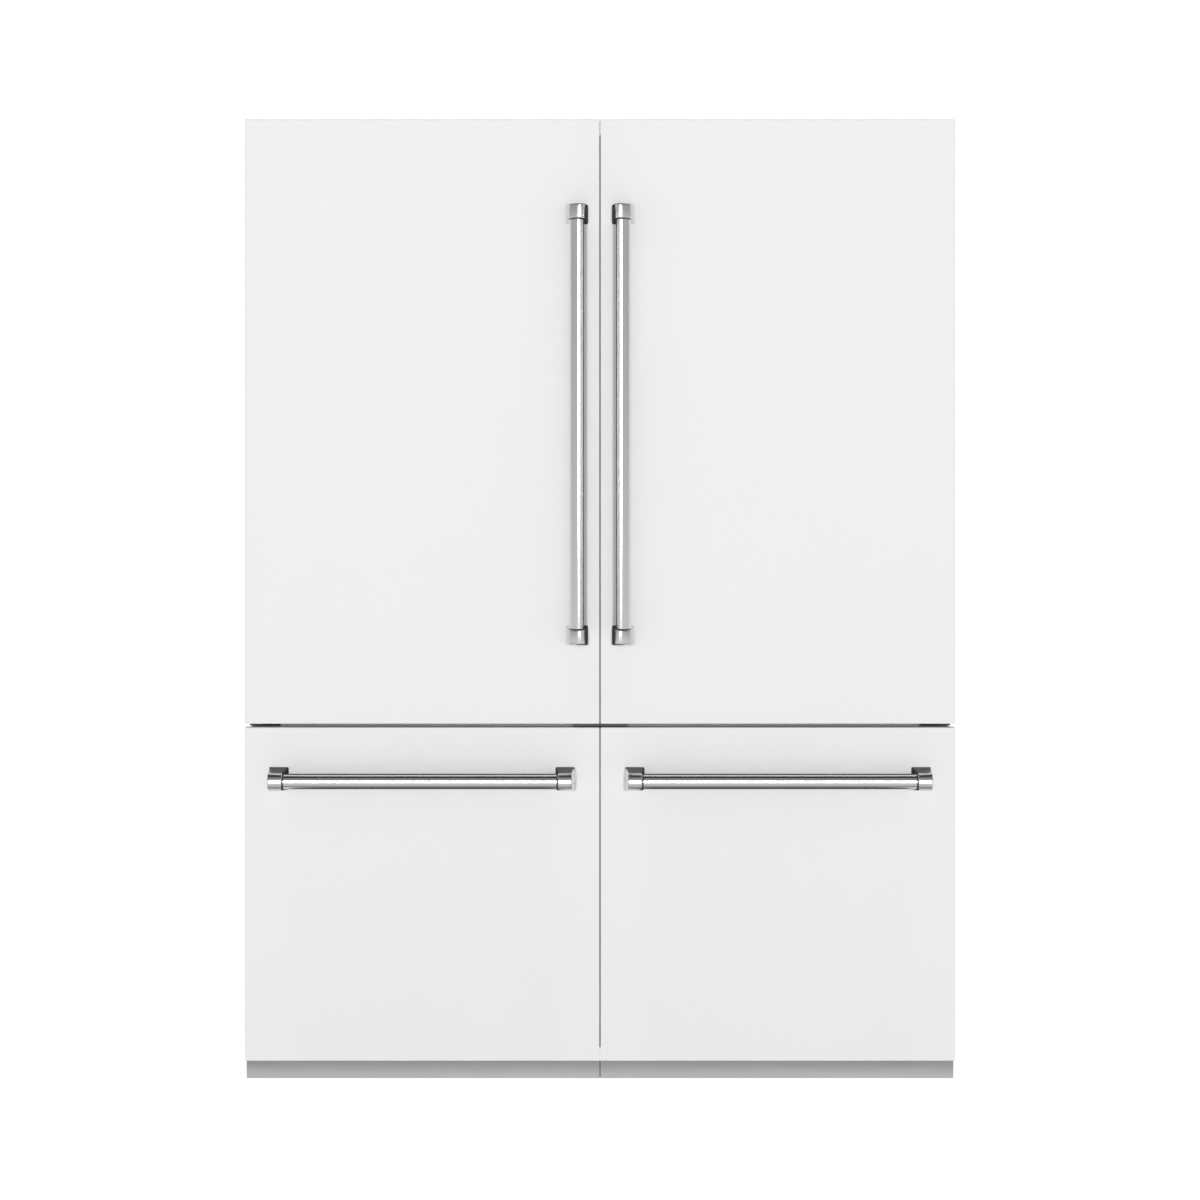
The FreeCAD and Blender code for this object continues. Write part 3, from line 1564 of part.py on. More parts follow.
def check():
    """Stops with the names of whatever failed to build."""
    doc.recompute()
    bad = [
        thing.Label for thing in doc.Objects
        if "Invalid" in thing.State or "Error" in thing.State
    ]
    for node in nodes:
        if node.Shape.isNull() or not node.Shape.isValid() or not node.Shape.Solids:
            bad.append(node.Label)
    if bad:
        raise SystemExit("these failed: " + ", ".join(bad))


build()
check()
os.makedirs("parts", exist_ok=True)
for node in nodes:
    node.Shape.exportStep(os.path.join("parts", node.Label + ".step"))
print(len(nodes), "nodes written")
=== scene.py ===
"""French door refrigerator: two 30 inch bottom-freezer cabinets joined side by side.

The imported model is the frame. This file adds the finishes, the detailed pieces, the studio and the
camera. New pieces are surfaces worked out as whole numpy arrays, in metres, in the model's frame.
"""
import json
import math

import bmesh
import bpy
import numpy as np
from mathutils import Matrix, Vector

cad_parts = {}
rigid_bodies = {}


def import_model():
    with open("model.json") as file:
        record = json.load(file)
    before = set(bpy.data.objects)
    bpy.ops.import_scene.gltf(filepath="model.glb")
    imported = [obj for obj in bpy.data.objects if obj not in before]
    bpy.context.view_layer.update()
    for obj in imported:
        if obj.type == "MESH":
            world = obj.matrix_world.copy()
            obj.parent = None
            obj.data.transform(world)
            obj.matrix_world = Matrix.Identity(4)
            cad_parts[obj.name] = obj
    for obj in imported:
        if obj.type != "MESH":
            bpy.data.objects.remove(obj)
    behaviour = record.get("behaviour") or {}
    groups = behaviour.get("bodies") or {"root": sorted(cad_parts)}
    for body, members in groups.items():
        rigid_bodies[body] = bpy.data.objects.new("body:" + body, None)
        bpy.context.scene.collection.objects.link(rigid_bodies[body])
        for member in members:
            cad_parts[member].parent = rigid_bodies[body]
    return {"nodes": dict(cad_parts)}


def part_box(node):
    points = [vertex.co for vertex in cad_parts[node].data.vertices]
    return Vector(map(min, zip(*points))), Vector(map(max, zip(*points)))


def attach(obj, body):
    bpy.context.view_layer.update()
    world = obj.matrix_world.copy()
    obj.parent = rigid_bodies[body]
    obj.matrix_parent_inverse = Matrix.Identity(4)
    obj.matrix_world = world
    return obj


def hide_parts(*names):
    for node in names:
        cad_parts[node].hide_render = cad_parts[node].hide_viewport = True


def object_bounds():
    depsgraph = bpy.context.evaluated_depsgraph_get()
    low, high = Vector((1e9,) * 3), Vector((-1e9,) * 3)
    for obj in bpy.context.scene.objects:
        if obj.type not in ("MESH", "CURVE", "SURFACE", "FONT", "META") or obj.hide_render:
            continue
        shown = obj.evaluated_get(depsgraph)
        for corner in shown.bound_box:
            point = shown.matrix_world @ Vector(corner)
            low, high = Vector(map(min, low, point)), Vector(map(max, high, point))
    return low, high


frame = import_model()
cad_box = [list(corner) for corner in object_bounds()]
NODES = frame["nodes"]
SIDES = (("left", -1), ("right", 1))
TURN = 2 * math.pi

# ---------------------------------------------------------------- camera

FRAME_WIDE = 2.559
CAMERA_AWAY = 4.6
CAMERA_SHIFT = -0.095

low, high = (np.array(corner) for corner in cad_box)
face_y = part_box("door_panel_left")[0][1]
lens = bpy.data.cameras.new("camera")
lens.sensor_width = 36
lens.lens = lens.sensor_width * CAMERA_AWAY / FRAME_WIDE
lens.shift_y = CAMERA_SHIFT
camera = bpy.data.objects.new("camera", lens)
camera.location = (0, face_y - CAMERA_AWAY, high[2] / 2 - CAMERA_SHIFT * FRAME_WIDE)
camera.rotation_euler = (math.pi / 2, 0, 0)
bpy.context.scene.collection.objects.link(camera)
bpy.context.scene.camera = camera

# ---------------------------------------------------------------- finishes


def finish(name, colours, rough, metal=0.0, patch=(60, 60, 60), grain=(900, 900, 900),
           bump=0.05, depth=0.0002, detail=3.0, **sockets):
    """A finish whose colour drifts between two tones, with a fine grain in gloss and relief.

    patch and grain are how many noise cells fit in a metre along x, y and z.
    """
    made = bpy.data.materials.new(name)
    made.use_nodes = True
    nodes, links = made.node_tree.nodes, made.node_tree.links
    shader = nodes["Principled BSDF"]
    place = nodes.new("ShaderNodeTexCoord")

    def noise(cells, fine):
        scale = nodes.new("ShaderNodeMapping")
        scale.inputs["Scale"].default_value = cells
        pattern = nodes.new("ShaderNodeTexNoise")
        pattern.inputs["Scale"].default_value = 1.0
        pattern.inputs["Detail"].default_value = fine
        links.new(place.outputs["Object"], scale.inputs["Vector"])
        links.new(scale.outputs["Vector"], pattern.inputs["Vector"])
        return pattern.outputs["Fac"]

    drift, fine = noise(patch, 2.0), noise(grain, detail)
    tone = nodes.new("ShaderNodeMix")
    tone.data_type = "RGBA"
    tone.inputs["A"].default_value = (*colours[0], 1)
    tone.inputs["B"].default_value = (*colours[1], 1)
    links.new(drift, tone.inputs["Factor"])
    links.new(tone.outputs["Result"], shader.inputs["Base Color"])
    gloss = nodes.new("ShaderNodeMapRange")
    gloss.inputs["To Min"].default_value = rough[0]
    gloss.inputs["To Max"].default_value = rough[1]
    links.new(fine, gloss.inputs["Value"])
    links.new(gloss.outputs["Result"], shader.inputs["Roughness"])
    relief = nodes.new("ShaderNodeBump")
    relief.inputs["Strength"].default_value = bump
    relief.inputs["Distance"].default_value = depth
    links.new(fine, relief.inputs["Height"])
    links.new(relief.outputs["Normal"], shader.inputs["Normal"])
    shader.inputs["Metallic"].default_value = metal
    for socket, value in sockets.items():
        shader.inputs[socket.replace("_", " ")].default_value = value
    return made


def grey(value, warm=0.0):
    """A grey, a little warmer or colder."""
    return (value * (1 + warm), value, value * (1 - warm))


FINISHES = {
    "white_panel": finish("white_panel", (grey(0.795), grey(0.81)), (0.58, 0.66),
                          patch=(3, 3, 3), grain=(2200, 2200, 2200), bump=0.12, depth=0.0001,
                          Specular_IOR_Level=0.3),
    "cabinet_steel": finish("cabinet_steel", (grey(0.5, 0.01), grey(0.56, 0.01)), (0.35, 0.5),
                            metal=0.75, patch=(9, 9, 9), grain=(700, 700, 700)),
    "door_foam": finish("door_foam", (grey(0.76), grey(0.8)), (0.45, 0.6),
                        patch=(8, 8, 8)),
    "insulation": finish("insulation", ((0.75, 0.62, 0.38), (0.82, 0.72, 0.5)), (0.8, 0.95),
                         patch=(40, 40, 40), grain=(500, 500, 500), bump=0.5, depth=0.001),
    "liner": finish("liner", (grey(0.76), grey(0.8)), (0.2, 0.3), patch=(6, 6, 6),
                    grain=(400, 400, 400), bump=0.03),
    "clear_plastic": finish("clear_plastic", ((0.96, 0.97, 0.97), (0.98, 0.99, 0.99)),
                            (0.05, 0.12), grain=(250, 250, 250), bump=0.03, IOR=1.35,
                            Transmission_Weight=0.7),
    "shelf_glass": finish("shelf_glass", ((0.83, 0.94, 0.9), (0.88, 0.96, 0.93)), (0.0, 0.04),
                          patch=(12, 12, 12), grain=(90, 90, 90), bump=0.01, IOR=1.52,
                          Transmission_Weight=0.9),
    "shelf_trim": finish("shelf_trim", (grey(0.68), grey(0.74)), (0.25, 0.35), patch=(20, 20, 20)),
    "grey_plastic": finish("grey_plastic", (grey(0.5), grey(0.56)), (0.35, 0.45),
                           grain=(1500, 1500, 1500), bump=0.15),
    "dark_plastic": finish("dark_plastic", (grey(0.028), grey(0.045)), (0.4, 0.55),
                           grain=(1500, 1500, 1500), bump=0.2),
    "coil": finish("coil", (grey(0.62), grey(0.75)), (0.25, 0.4), metal=1.0,
                   patch=(150, 150, 20), grain=(1200, 1200, 60), bump=0.2),
    "compressor_black": finish("compressor_black", (grey(0.012), grey(0.022)), (0.22, 0.36),
                               patch=(30, 30, 30), grain=(350, 350, 350), bump=0.12,
                               Coat_Weight=0.4),
    "handle_steel": finish("handle_steel", (grey(0.74, 0.004), grey(0.82, 0.004)), (0.16, 0.23),
                           metal=1.0, patch=(700, 700, 5), grain=(3500, 3500, 14), bump=0.006,
                           depth=0.00001, detail=2.0),
    "bracket_steel": finish("bracket_steel", (grey(0.66), grey(0.74)), (0.2, 0.3), metal=1.0,
                            patch=(90, 90, 90), grain=(1300, 1300, 1300), bump=0.06,
                            depth=0.00005),
    "dark_steel": finish("dark_steel", (grey(0.06), grey(0.09)), (0.35, 0.5), metal=0.8,
                         grain=(1100, 1100, 1100)),
    "rail_steel": finish("rail_steel", (grey(0.6), grey(0.7)), (0.28, 0.42), metal=1.0,
                         patch=(40, 8, 40), grain=(900, 25, 900), bump=0.1),
    "toe_steel": finish("toe_steel", (grey(0.66), grey(0.74)), (0.3, 0.42), metal=1.0,
                        patch=(5, 90, 90), grain=(18, 2400, 2400), bump=0.12, depth=0.0001),
    "gasket_rubber": finish("gasket_rubber", (grey(0.5), grey(0.56)), (0.55, 0.7),
                            grain=(800, 800, 800), bump=0.12),
    "roller_rubber": finish("roller_rubber", (grey(0.03), grey(0.05)), (0.6, 0.8),
                            grain=(900, 900, 900), bump=0.3),
    "feet_steel": finish("feet_steel", (grey(0.45), grey(0.55)), (0.3, 0.45), metal=1.0,
                         grain=(900, 900, 900), bump=0.15),
}

FINISHES["level_handle_steel"] = finish(
    "level_handle_steel", (grey(0.74, 0.004), grey(0.82, 0.004)), (0.16, 0.23), metal=1.0,
    patch=(5, 700, 700), grain=(14, 3500, 3500), bump=0.006, depth=0.00001, detail=2.0)

for node in NODES.values():
    for place in node.material_slots:
        place.material = FINISHES[place.material.name.split(".")[0]]
for name, made in FINISHES.items():
    spare = bpy.data.materials.get(name)
    if spare and spare != made:
        bpy.data.materials.remove(spare)
        made.name = name

# ---------------------------------------------------------------- mesh helpers

SHARP_FROM = math.radians(40)


def skin(rows, wrap=False):
    """Quads over a grid of points whose rows are closed loops.

    The first and last rows are filled, or joined to each other where wrap is set.
    """
    rows = np.asarray(rows, float)
    count, around, _ = rows.shape
    points = rows.reshape(-1, 3)
    steps = np.arange(count if wrap else count - 1)[:, None] * around
    here = np.arange(around)[None, :]
    there = (here + 1) % around
    above = (steps + around) % (count * around)
    quads = np.stack([steps + here, steps + there, above + there, above + here], -1)
    faces = quads.reshape(-1, 4)
    if wrap:
        return outward(points, faces.tolist())
    centres = np.stack([rows[0].mean(0), rows[-1].mean(0)])
    points = np.vstack([points, centres])
    loop = np.arange(around)
    after = (loop + 1) % around
    middle = np.full(around, count * around)
    first = np.stack([after, loop, middle], -1)
    end = (count - 1) * around
    last = np.stack([end + loop, end + after, middle + 1], -1)
    return outward(points, faces.tolist() + first.tolist() + last.tolist())


def outward(points, faces):
    """The same closed skin with its faces turned outwards, by the sign of its volume."""
    triangles = np.array([(f[0], f[i], f[i + 1]) for f in faces for i in range(1, len(f) - 1)])
    a, b, c = (points[triangles[:, k]] for k in range(3))
    if np.einsum("ij,ij->", a, np.cross(b, c)) < 0:
        faces = [face[::-1] for face in faces]
    return points, faces


def make(name, body, slot, skins, nodes=()):
    """One object from several closed skins, riding on a body, standing for CAD nodes."""
    points, faces, start = [], [], 0
    for some, around in skins:
        points.append(some)
        faces += [[index + start for index in face] for face in around]
        start += len(some)
    mesh = bpy.data.meshes.new(name)
    mesh.from_pydata(np.vstack(points).tolist(), [], faces)
    shell = bmesh.new()
    shell.from_mesh(mesh)
    bmesh.ops.remove_doubles(shell, verts=shell.verts, dist=1e-7)
    shell.to_mesh(mesh)
    shell.free()
    mesh.shade_smooth()
    mesh.set_sharp_from_angle(angle=SHARP_FROM)
    mesh.materials.append(FINISHES[slot])
    piece = bpy.data.objects.new(name, mesh)
    bpy.context.scene.collection.objects.link(piece)
    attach(piece, body)
    if nodes:
        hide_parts(*nodes)
    return piece


def solids(node):
    """The lowest and highest corners of each separate solid of a CAD node."""
    shell = bmesh.new()
    shell.from_mesh(NODES[node].data)
    bmesh.ops.remove_doubles(shell, verts=shell.verts, dist=1e-6)
    boxes, seen = [], set()
    for start in shell.verts:
        if start in seen:
            continue
        island, edge = [], [start]
        seen.add(start)
        while edge:
            vert = edge.pop()
            island.append(vert.co[:])
            near = [link.other_vert(vert) for link in vert.link_edges]
            fresh = [other for other in near if other not in seen]
            seen.update(fresh)
            edge += fresh
        island = np.array(island)
        boxes.append((island.min(0), island.max(0)))
    shell.free()
    return sorted(boxes, key=lambda box: tuple(box[0].round(4)))


def rounded(x0, x1, y0, y1, radius, corner=7):
    """A loop round a rectangle: four quarter circles, each about its corner's centre."""
    radius = max(min(radius, (x1 - x0) / 2, (y1 - y0) / 2), 1e-5)
    turn = np.linspace(0, math.pi / 2, corner)
    loop = []
    for index, (x, y) in enumerate(((x1, y1), (x0, y1), (x0, y0), (x1, y0))):
        angle = turn + index * math.pi / 2
        cx = x - radius if x == x1 else x + radius
        cy = y - radius if y == y1 else y + radius
        loop.append(np.stack([cx + radius * np.cos(angle), cy + radius * np.sin(angle)], -1))
    return np.vstack(loop)


def nested(rect, profile, radius, axis=2, corner=7):
    """Rounded rectangles, one for each profile point (inset, level), square to an axis."""
    rows = []
    for inset, level in profile:
        x0, x1, y0, y1 = rect
        loop = rounded(x0 + inset, x1 - inset, y0 + inset, y1 - inset, radius - inset, corner)
        rows.append(np.insert(loop, axis, level, axis=1))
    return rows


def soft_block(lo, hi, radius=0.002, corner=0.004, axis=2):
    """A block with rounded edges: its outline shrinks by r(1 - cos a) as it nears each end."""
    a = np.linspace(math.pi / 2, 0, 4)
    lift = radius * (1 - np.sin(a))
    inset = radius * (1 - np.cos(a))
    near = [(i, lo[axis] + z) for i, z in zip(inset, lift)]
    far = [(i, lo[axis] + hi[axis] - z) for i, z in reversed(near)]
    rest = [k for k in range(3) if k != axis]
    rect = (lo[rest[0]], hi[rest[0]], lo[rest[1]], hi[rest[1]])
    return skin(nested(rect, near + far, max(corner, radius), axis))


def turned(centre, axis, profile, sides=64):
    """A turned piece: each profile point (reach along the axis, radius) is a circle."""
    angle = np.linspace(0, TURN, sides, endpoint=False)
    rows = []
    others = [k for k in range(3) if k != axis]
    for reach, radius in profile:
        ring = np.zeros((sides, 3))
        ring[:, axis] = reach
        ring[:, others[0]] = max(radius, 1e-6) * np.cos(angle)
        ring[:, others[1]] = max(radius, 1e-6) * np.sin(angle)
        rows.append(ring + np.asarray(centre))
    return skin(rows)


def piped(path, radius, sides=12):
    """A round tube along a path: circles square to the line between a point's neighbours."""
    path = np.asarray(path, float)
    along = np.gradient(path, axis=0)
    along /= np.linalg.norm(along, axis=1)[:, None]
    side = np.zeros_like(along)
    guide = np.array([0.0, 0.0, 1.0]) if abs(along[0][2]) < 0.9 else np.array([1.0, 0.0, 0.0])
    for index, step in enumerate(along):
        guide = guide - step * (guide @ step)
        guide /= np.linalg.norm(guide)
        side[index] = guide
    up = np.cross(along, side)
    angle = np.linspace(0, TURN, sides, endpoint=False)[None, :, None]
    ring = np.cos(angle) * side[:, None, :] + np.sin(angle) * up[:, None, :]
    return skin(path[:, None, :] + radius * ring)


def centre_of(lo, hi):
    """The middle of a box."""
    return (np.asarray(lo) + np.asarray(hi)) / 2


# ---------------------------------------------------------------- handles

TUBE_EDGE = 0.0006
RING_ROUND = 0.003
RING_WALL = 0.003625
BRACKET_BASE = 0.042
BRACKET_FRONT = 0.030
SHADE_RING_SHARE = 0.62  # how far up the post's sloped end the rim of the painted-shade ring lies


def handle_tube(name, node, body):
    """A turned tube: full radius along its length, eased at both ends."""
    lo, hi = (np.array(c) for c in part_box(node))
    axis = int(np.argmax(hi - lo))
    radius = (hi - lo)[1] / 2
    centre = centre_of(lo, hi)
    centre[axis] = 0
    ends = (lo[axis], hi[axis])
    profile = [(ends[0], radius - TUBE_EDGE), (ends[0] + TUBE_EDGE, radius),
               (ends[1] - TUBE_EDGE, radius), (ends[1], radius - TUBE_EDGE)]
    tube = make(name, body, "handle_steel", [turned(centre, axis, profile, 96)], [node])
    if axis == 0:
        tube.data.materials[0] = FINISHES["level_handle_steel"]


def bracket_skin(lo, hi, axis, radius):
    """A handle post: a round nose with leaning sides, swept along the tube.

    The sides touch the nose circle of radius R and reach the half width b at the panel, a
    depth d behind the circle's centre, so their lean t solves b cos t - d sin t = R. The ends
    slope, so that the post is longer at the panel than at the nose, and every end edge is
    rounded: the outline shrinks by r(1 - sin a) while it moves out by r(1 - cos a).
    """
    across = 0 if axis == 2 else 2
    centre, foot = (lo[across] + hi[across]) / 2, (hi[across] - lo[across]) / 2
    front, back = lo[1], hi[1]
    reach, slope = back - front, (BRACKET_BASE - BRACKET_FRONT) / 2
    deep = reach - radius
    lean = math.acos(radius / math.hypot(foot, deep)) - math.atan2(deep, foot)
    angle = np.linspace(math.pi + lean, TURN - lean, 33)
    a = np.linspace(0, math.pi / 2, 6)
    rows = []
    insets = [(RING_ROUND * (1 - np.sin(t)), RING_ROUND * (1 - np.cos(t))) for t in a]
    for end in (0, 1):
        for shrink, short in (insets if end == 0 else insets[::-1]):
            r, base_half = radius - shrink, foot - shrink
            nose = np.stack([r * np.cos(angle), front + radius + r * np.sin(angle)], -1)
            side_half = base_half - reach * 0.3 * math.tan(lean)
            base = np.array([[side_half, back - reach * 0.3], [base_half, back],
                             [0.4 * base_half, back], [-0.4 * base_half, back],
                             [-base_half, back], [-side_half, back - reach * 0.3]])
            loop = np.vstack([nose, base])
            depth = (back - loop[:, 1]) / reach
            level = lo[axis] + slope * depth + short
            if end:
                level = hi[axis] - slope * depth - short
            row = np.zeros((len(loop), 3))
            row[:, across] = centre + loop[:, 0]
            row[:, 1] = loop[:, 1]
            row[:, axis] = level
            rows.append(row)
    return skin(rows)


def handle_brackets(name, node, body):
    """The two posts of a handle, and a thin dark ring where the tube enters each of them: painted
    shade for the contact line at the post's rim.
    """
    boxes = solids(node)
    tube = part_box(node.replace("brackets", "bar"))
    axis = int(np.argmax(np.subtract(tube[1], tube[0])))
    radius = (tube[1][1] - tube[0][1]) / 2
    nose = radius + RING_WALL
    make(name, body, "bracket_steel", [bracket_skin(*box, axis, nose) for box in boxes], [node])
    middle = centre_of(*tube)
    shade_rings = []
    at = middle.copy()
    at[axis] = 0
    # Painted shade: a dark ring at each post's rim stands for the shadowed contact line where the
    # tube meets the post.
    for lo, hi in boxes:
        way = 1 if hi[axis] < middle[axis] else -1
        inner = hi[axis] if way > 0 else lo[axis]
        start = inner - way * (BRACKET_BASE - BRACKET_FRONT) / 2 * SHADE_RING_SHARE
        profile = [(start - way * 0.006, radius + 0.0003), (start - way * 0.0002, radius + 0.0006),
                   (start + way * 0.0004, radius + 0.0006), (start + way * 0.0006, radius)]
        shade_rings.append(turned(at, axis, profile, 64))
    make(name + "_collars", body, "dark_steel", shade_rings)


for word, side in SIDES:
    for kind in ("door", "drawer"):
        body = f"{kind}_{word}"
        handle_tube(f"{kind}_{word}_handle_tube", f"{kind}_handle_bar_{word}", body)
        handle_brackets(f"{kind}_{word}_posts", f"{kind}_handle_brackets_{word}", body)

# ---------------------------------------------------------------- seals


def slot_of(node):
    """The record's material slot that a CAD node has."""
    return NODES[node].data.materials[0].name


def gasket(node, body):
    """A magnetic bellows seal: its folded section is carried round a rounded rectangle."""
    lo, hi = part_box(node)
    deep = hi[1] - lo[1]
    section = [(0.002, 0), (0.014, 0), (0.0146, 0.2), (0.0118, 0.42), (0.0146, 0.62),
               (0.016, 0.92), (0.0152, 1), (0.0008, 1), (0, 0.92), (0.0014, 0.62),
               (0.0042, 0.42), (0.0014, 0.2)]
    profile = [(inset, lo[1] + share * deep) for inset, share in section]
    rows = nested((lo[0], hi[0], lo[2], hi[2]), profile, 0.012, axis=1)
    make(f"{body}_seal", body, slot_of(node), [skin(rows, wrap=True)], [node])


for word, side in SIDES:
    for kind in ("door", "drawer"):
        gasket(f"{kind}_gasket_{word}", f"{kind}_{word}")

# ---------------------------------------------------------------- bins, crispers and trays


def tray_skin(lo, hi, wall, lip, corner, draft=0.0):
    """A moulded tray: one section goes from the floor's edge up the outer wall, over a rolled
    lip and down the inner wall, and a rounded rectangle follows each of its points."""
    z0, z1 = lo[2], hi[2]
    outer = [(lip + draft + 0.005, z0), (lip + draft + 0.0015, z0 + 0.0012),
             (lip + draft, z0 + 0.005), (lip, z1 - 0.011), (0.0008, z1 - 0.010),
             (0.0, z1 - 0.008), (0.0, z1 - 0.0012), (0.0012, z1)]
    inner = [(lip + wall - 0.0012, z1), (lip + wall, z1 - 0.0012), (lip + wall, z1 - 0.012),
             (lip + draft + wall, z0 + wall + 0.004),
             (lip + draft + wall + 0.0012, z0 + wall + 0.001),
             (lip + draft + wall + 0.004, z0 + wall)]
    rect = (lo[0], hi[0], lo[1], hi[1])
    return skin(nested(rect, outer + inner, corner, corner=6))


def ribs_on_floor(lo, hi, wall, count, inset, raise_by=0.0016):
    """Low rounded ribs across a tray's floor, evenly spaced."""
    across = np.linspace(lo[0] + inset, hi[0] - inset, count)
    base = lo[2] + wall - 0.0004
    return [soft_block((x - 0.002, lo[1] + inset, base),
                       (x + 0.002, hi[1] - inset, base + raise_by), 0.0008, 0.0019)
            for x in across]


for word, side in SIDES:
    door, drawer = f"door_{word}", f"drawer_{word}"
    bins = solids(f"door_bins_{word}")
    trays, trims = [], []
    for lo, hi in bins:
        trays.append(tray_skin(lo, hi, 0.0025, 0.0025, 0.012, 0.002))
        trays += ribs_on_floor(lo, hi, 0.0025, 9, 0.02)
        front = hi[1] - 0.0013
        trims.append(soft_block((lo[0] + 0.03, front - 0.0075, hi[2] - 0.0205),
                                (hi[0] - 0.03, front + 0.0012, hi[2] - 0.011), 0.0015, 0.003, 0))
    make(f"{door}_bin_shells", door, "clear_plastic", trays, [f"door_bins_{word}"])
    make(f"{door}_bin_trims", door, "shelf_trim", trims)

    lo, hi = (np.array(c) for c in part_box(f"crisper_{word}"))
    body_lo = lo + (0, 0.007, 0)
    grip = soft_block((lo[0] + 0.06, lo[1], hi[2] - 0.012), (hi[0] - 0.06, lo[1] + 0.009, hi[2]),
                      0.0025, 0.004, 0)
    make(f"crisper_{word}_shell", f"crisper_{word}", "clear_plastic",
         [tray_skin(body_lo, hi, 0.003, 0.0028, 0.014, 0.002), grip]
         + ribs_on_floor(body_lo, hi, 0.003, 15, 0.024), [f"crisper_{word}"])

    for node, body, corner in ((f"freezer_bin_{word}", drawer, 0.018),
                               (f"freezer_tray_{word}", f"freezer_tray_{word}", 0.014)):
        lo, hi = (np.array(c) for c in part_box(node))
        lip = 0.008 if body == drawer else 0.003
        make(f"{node}_shell", body, slot_of(node),
             [tray_skin(lo, hi, 0.003, lip, corner, 0.001)]
             + ribs_on_floor(lo + (lip, lip, 0), hi - (lip, lip, 0), 0.003, 13, 0.025), [node])

# ---------------------------------------------------------------- fans, rollers and feet


def fan_rotor(node, axis, blades=5, twist=0.62):
    """A hub and pitched blades. A blade is a thin lens section that turns from its root to its
    tip: half width w(t) and pitch p(t) are straight lines in the share t along the blade."""
    lo, hi = (np.array(c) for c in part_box(node))
    centre, half = centre_of(lo, hi), (hi - lo)[axis] / 2
    others = [k for k in range(3) if k != axis]
    radius = max((hi - lo)[others[0]], (hi - lo)[others[1]]) / 2
    hub = radius * 0.3
    profile = [(-half, 0.0042), (-half, hub - 0.002), (-half + 0.002, hub),
               (half - 0.002, hub), (half, hub - 0.002), (half, 0.0042)]
    parts = [turned(centre, axis, profile, 40)]
    share = np.linspace(0, 1, 9)
    loop = np.linspace(0, TURN, 16, endpoint=False)
    for index in range(blades):
        rows = []
        for t in share:
            reach = hub * 0.9 + (radius * 0.965 - hub * 0.9) * t
            width, pitch = radius * (0.2 + 0.14 * t), twist * (1.15 - 0.5 * t)
            chord, thick = width * np.cos(loop), 0.0011 * np.sin(loop)
            swing = index * TURN / blades + 0.3 * t + (chord * np.cos(pitch)) / reach
            lift = np.clip(chord * np.sin(pitch) + thick, -half * 0.92, half * 0.92)
            row = np.zeros((len(loop), 3))
            row[:, axis] = lift
            row[:, others[0]] = reach * np.cos(swing)
            row[:, others[1]] = reach * np.sin(swing)
            rows.append(row + centre)
        parts.append(skin(rows))
    return parts


for word, side in SIDES:
    for node, axis in ((f"evaporator_fan_{word}", 1), (f"condenser_fan_{word}", 0)):
        make(f"{node}_rotor", node, slot_of(node), fan_rotor(node, axis), [node])

    node = f"rear_rollers_{word}"
    tyres, hubs = [], []
    for lo, hi in solids(node):
        centre, half, radius = centre_of(lo, hi), (hi - lo)[0] / 2, (hi - lo)[2] / 2
        tyres.append(turned(centre, 0, [(-half, 0.0125), (-half, radius - 0.004),
                                        (-half + 0.0012, radius - 0.0012), (-half + 0.004, radius),
                                        (half - 0.004, radius), (half - 0.0012, radius - 0.0012),
                                        (half, radius - 0.004), (half, 0.0125)], 56))
        hubs.append(turned(centre, 0, [(-half + 0.0006, 0.0053), (-half - 0.0006, 0.007),
                                       (-half - 0.0006, 0.011), (-half + 0.001, 0.0128),
                                       (half - 0.001, 0.0128), (half + 0.0006, 0.011),
                                       (half + 0.0006, 0.007), (half - 0.0006, 0.0053)], 40))
    make(f"{node}_tyres", node, "roller_rubber", tyres, [node])
    make(f"{node}_hubs", node, "dark_plastic", hubs)

feet, pads = [], []
for lo, hi in solids("levelling_feet"):
    centre = centre_of(lo, hi)
    centre[2] = 0
    radius, top = (hi - lo)[0] / 2, hi[2]
    pads.append(turned(centre, 2, [(0, radius - 0.0025), (0.0008, radius - 0.0006),
                                   (0.004, radius), (0.0072, radius - 0.0008),
                                   (0.008, radius - 0.003)], 48))
    count = 61
    reach = np.linspace(0.0175, top, count)
    thread = 0.0055 + 0.0005 * np.abs(np.mod(np.arange(count), 4) - 2) / 2
    feet.append(turned(centre, 2, list(zip(reach, thread)), 32))
    feet.append(turned(centre, 2, [(0.0079, 0.0115), (0.0085, 0.0122), (0.0168, 0.0122),
                                   (0.0178, 0.0112), (0.0178, 0.006)], 6))
make("levelling_foot_stems", "cabinet", "feet_steel", feet, ["levelling_feet"])
make("levelling_foot_pads", "cabinet", "roller_rubber", pads)

# ---------------------------------------------------------------- compressors

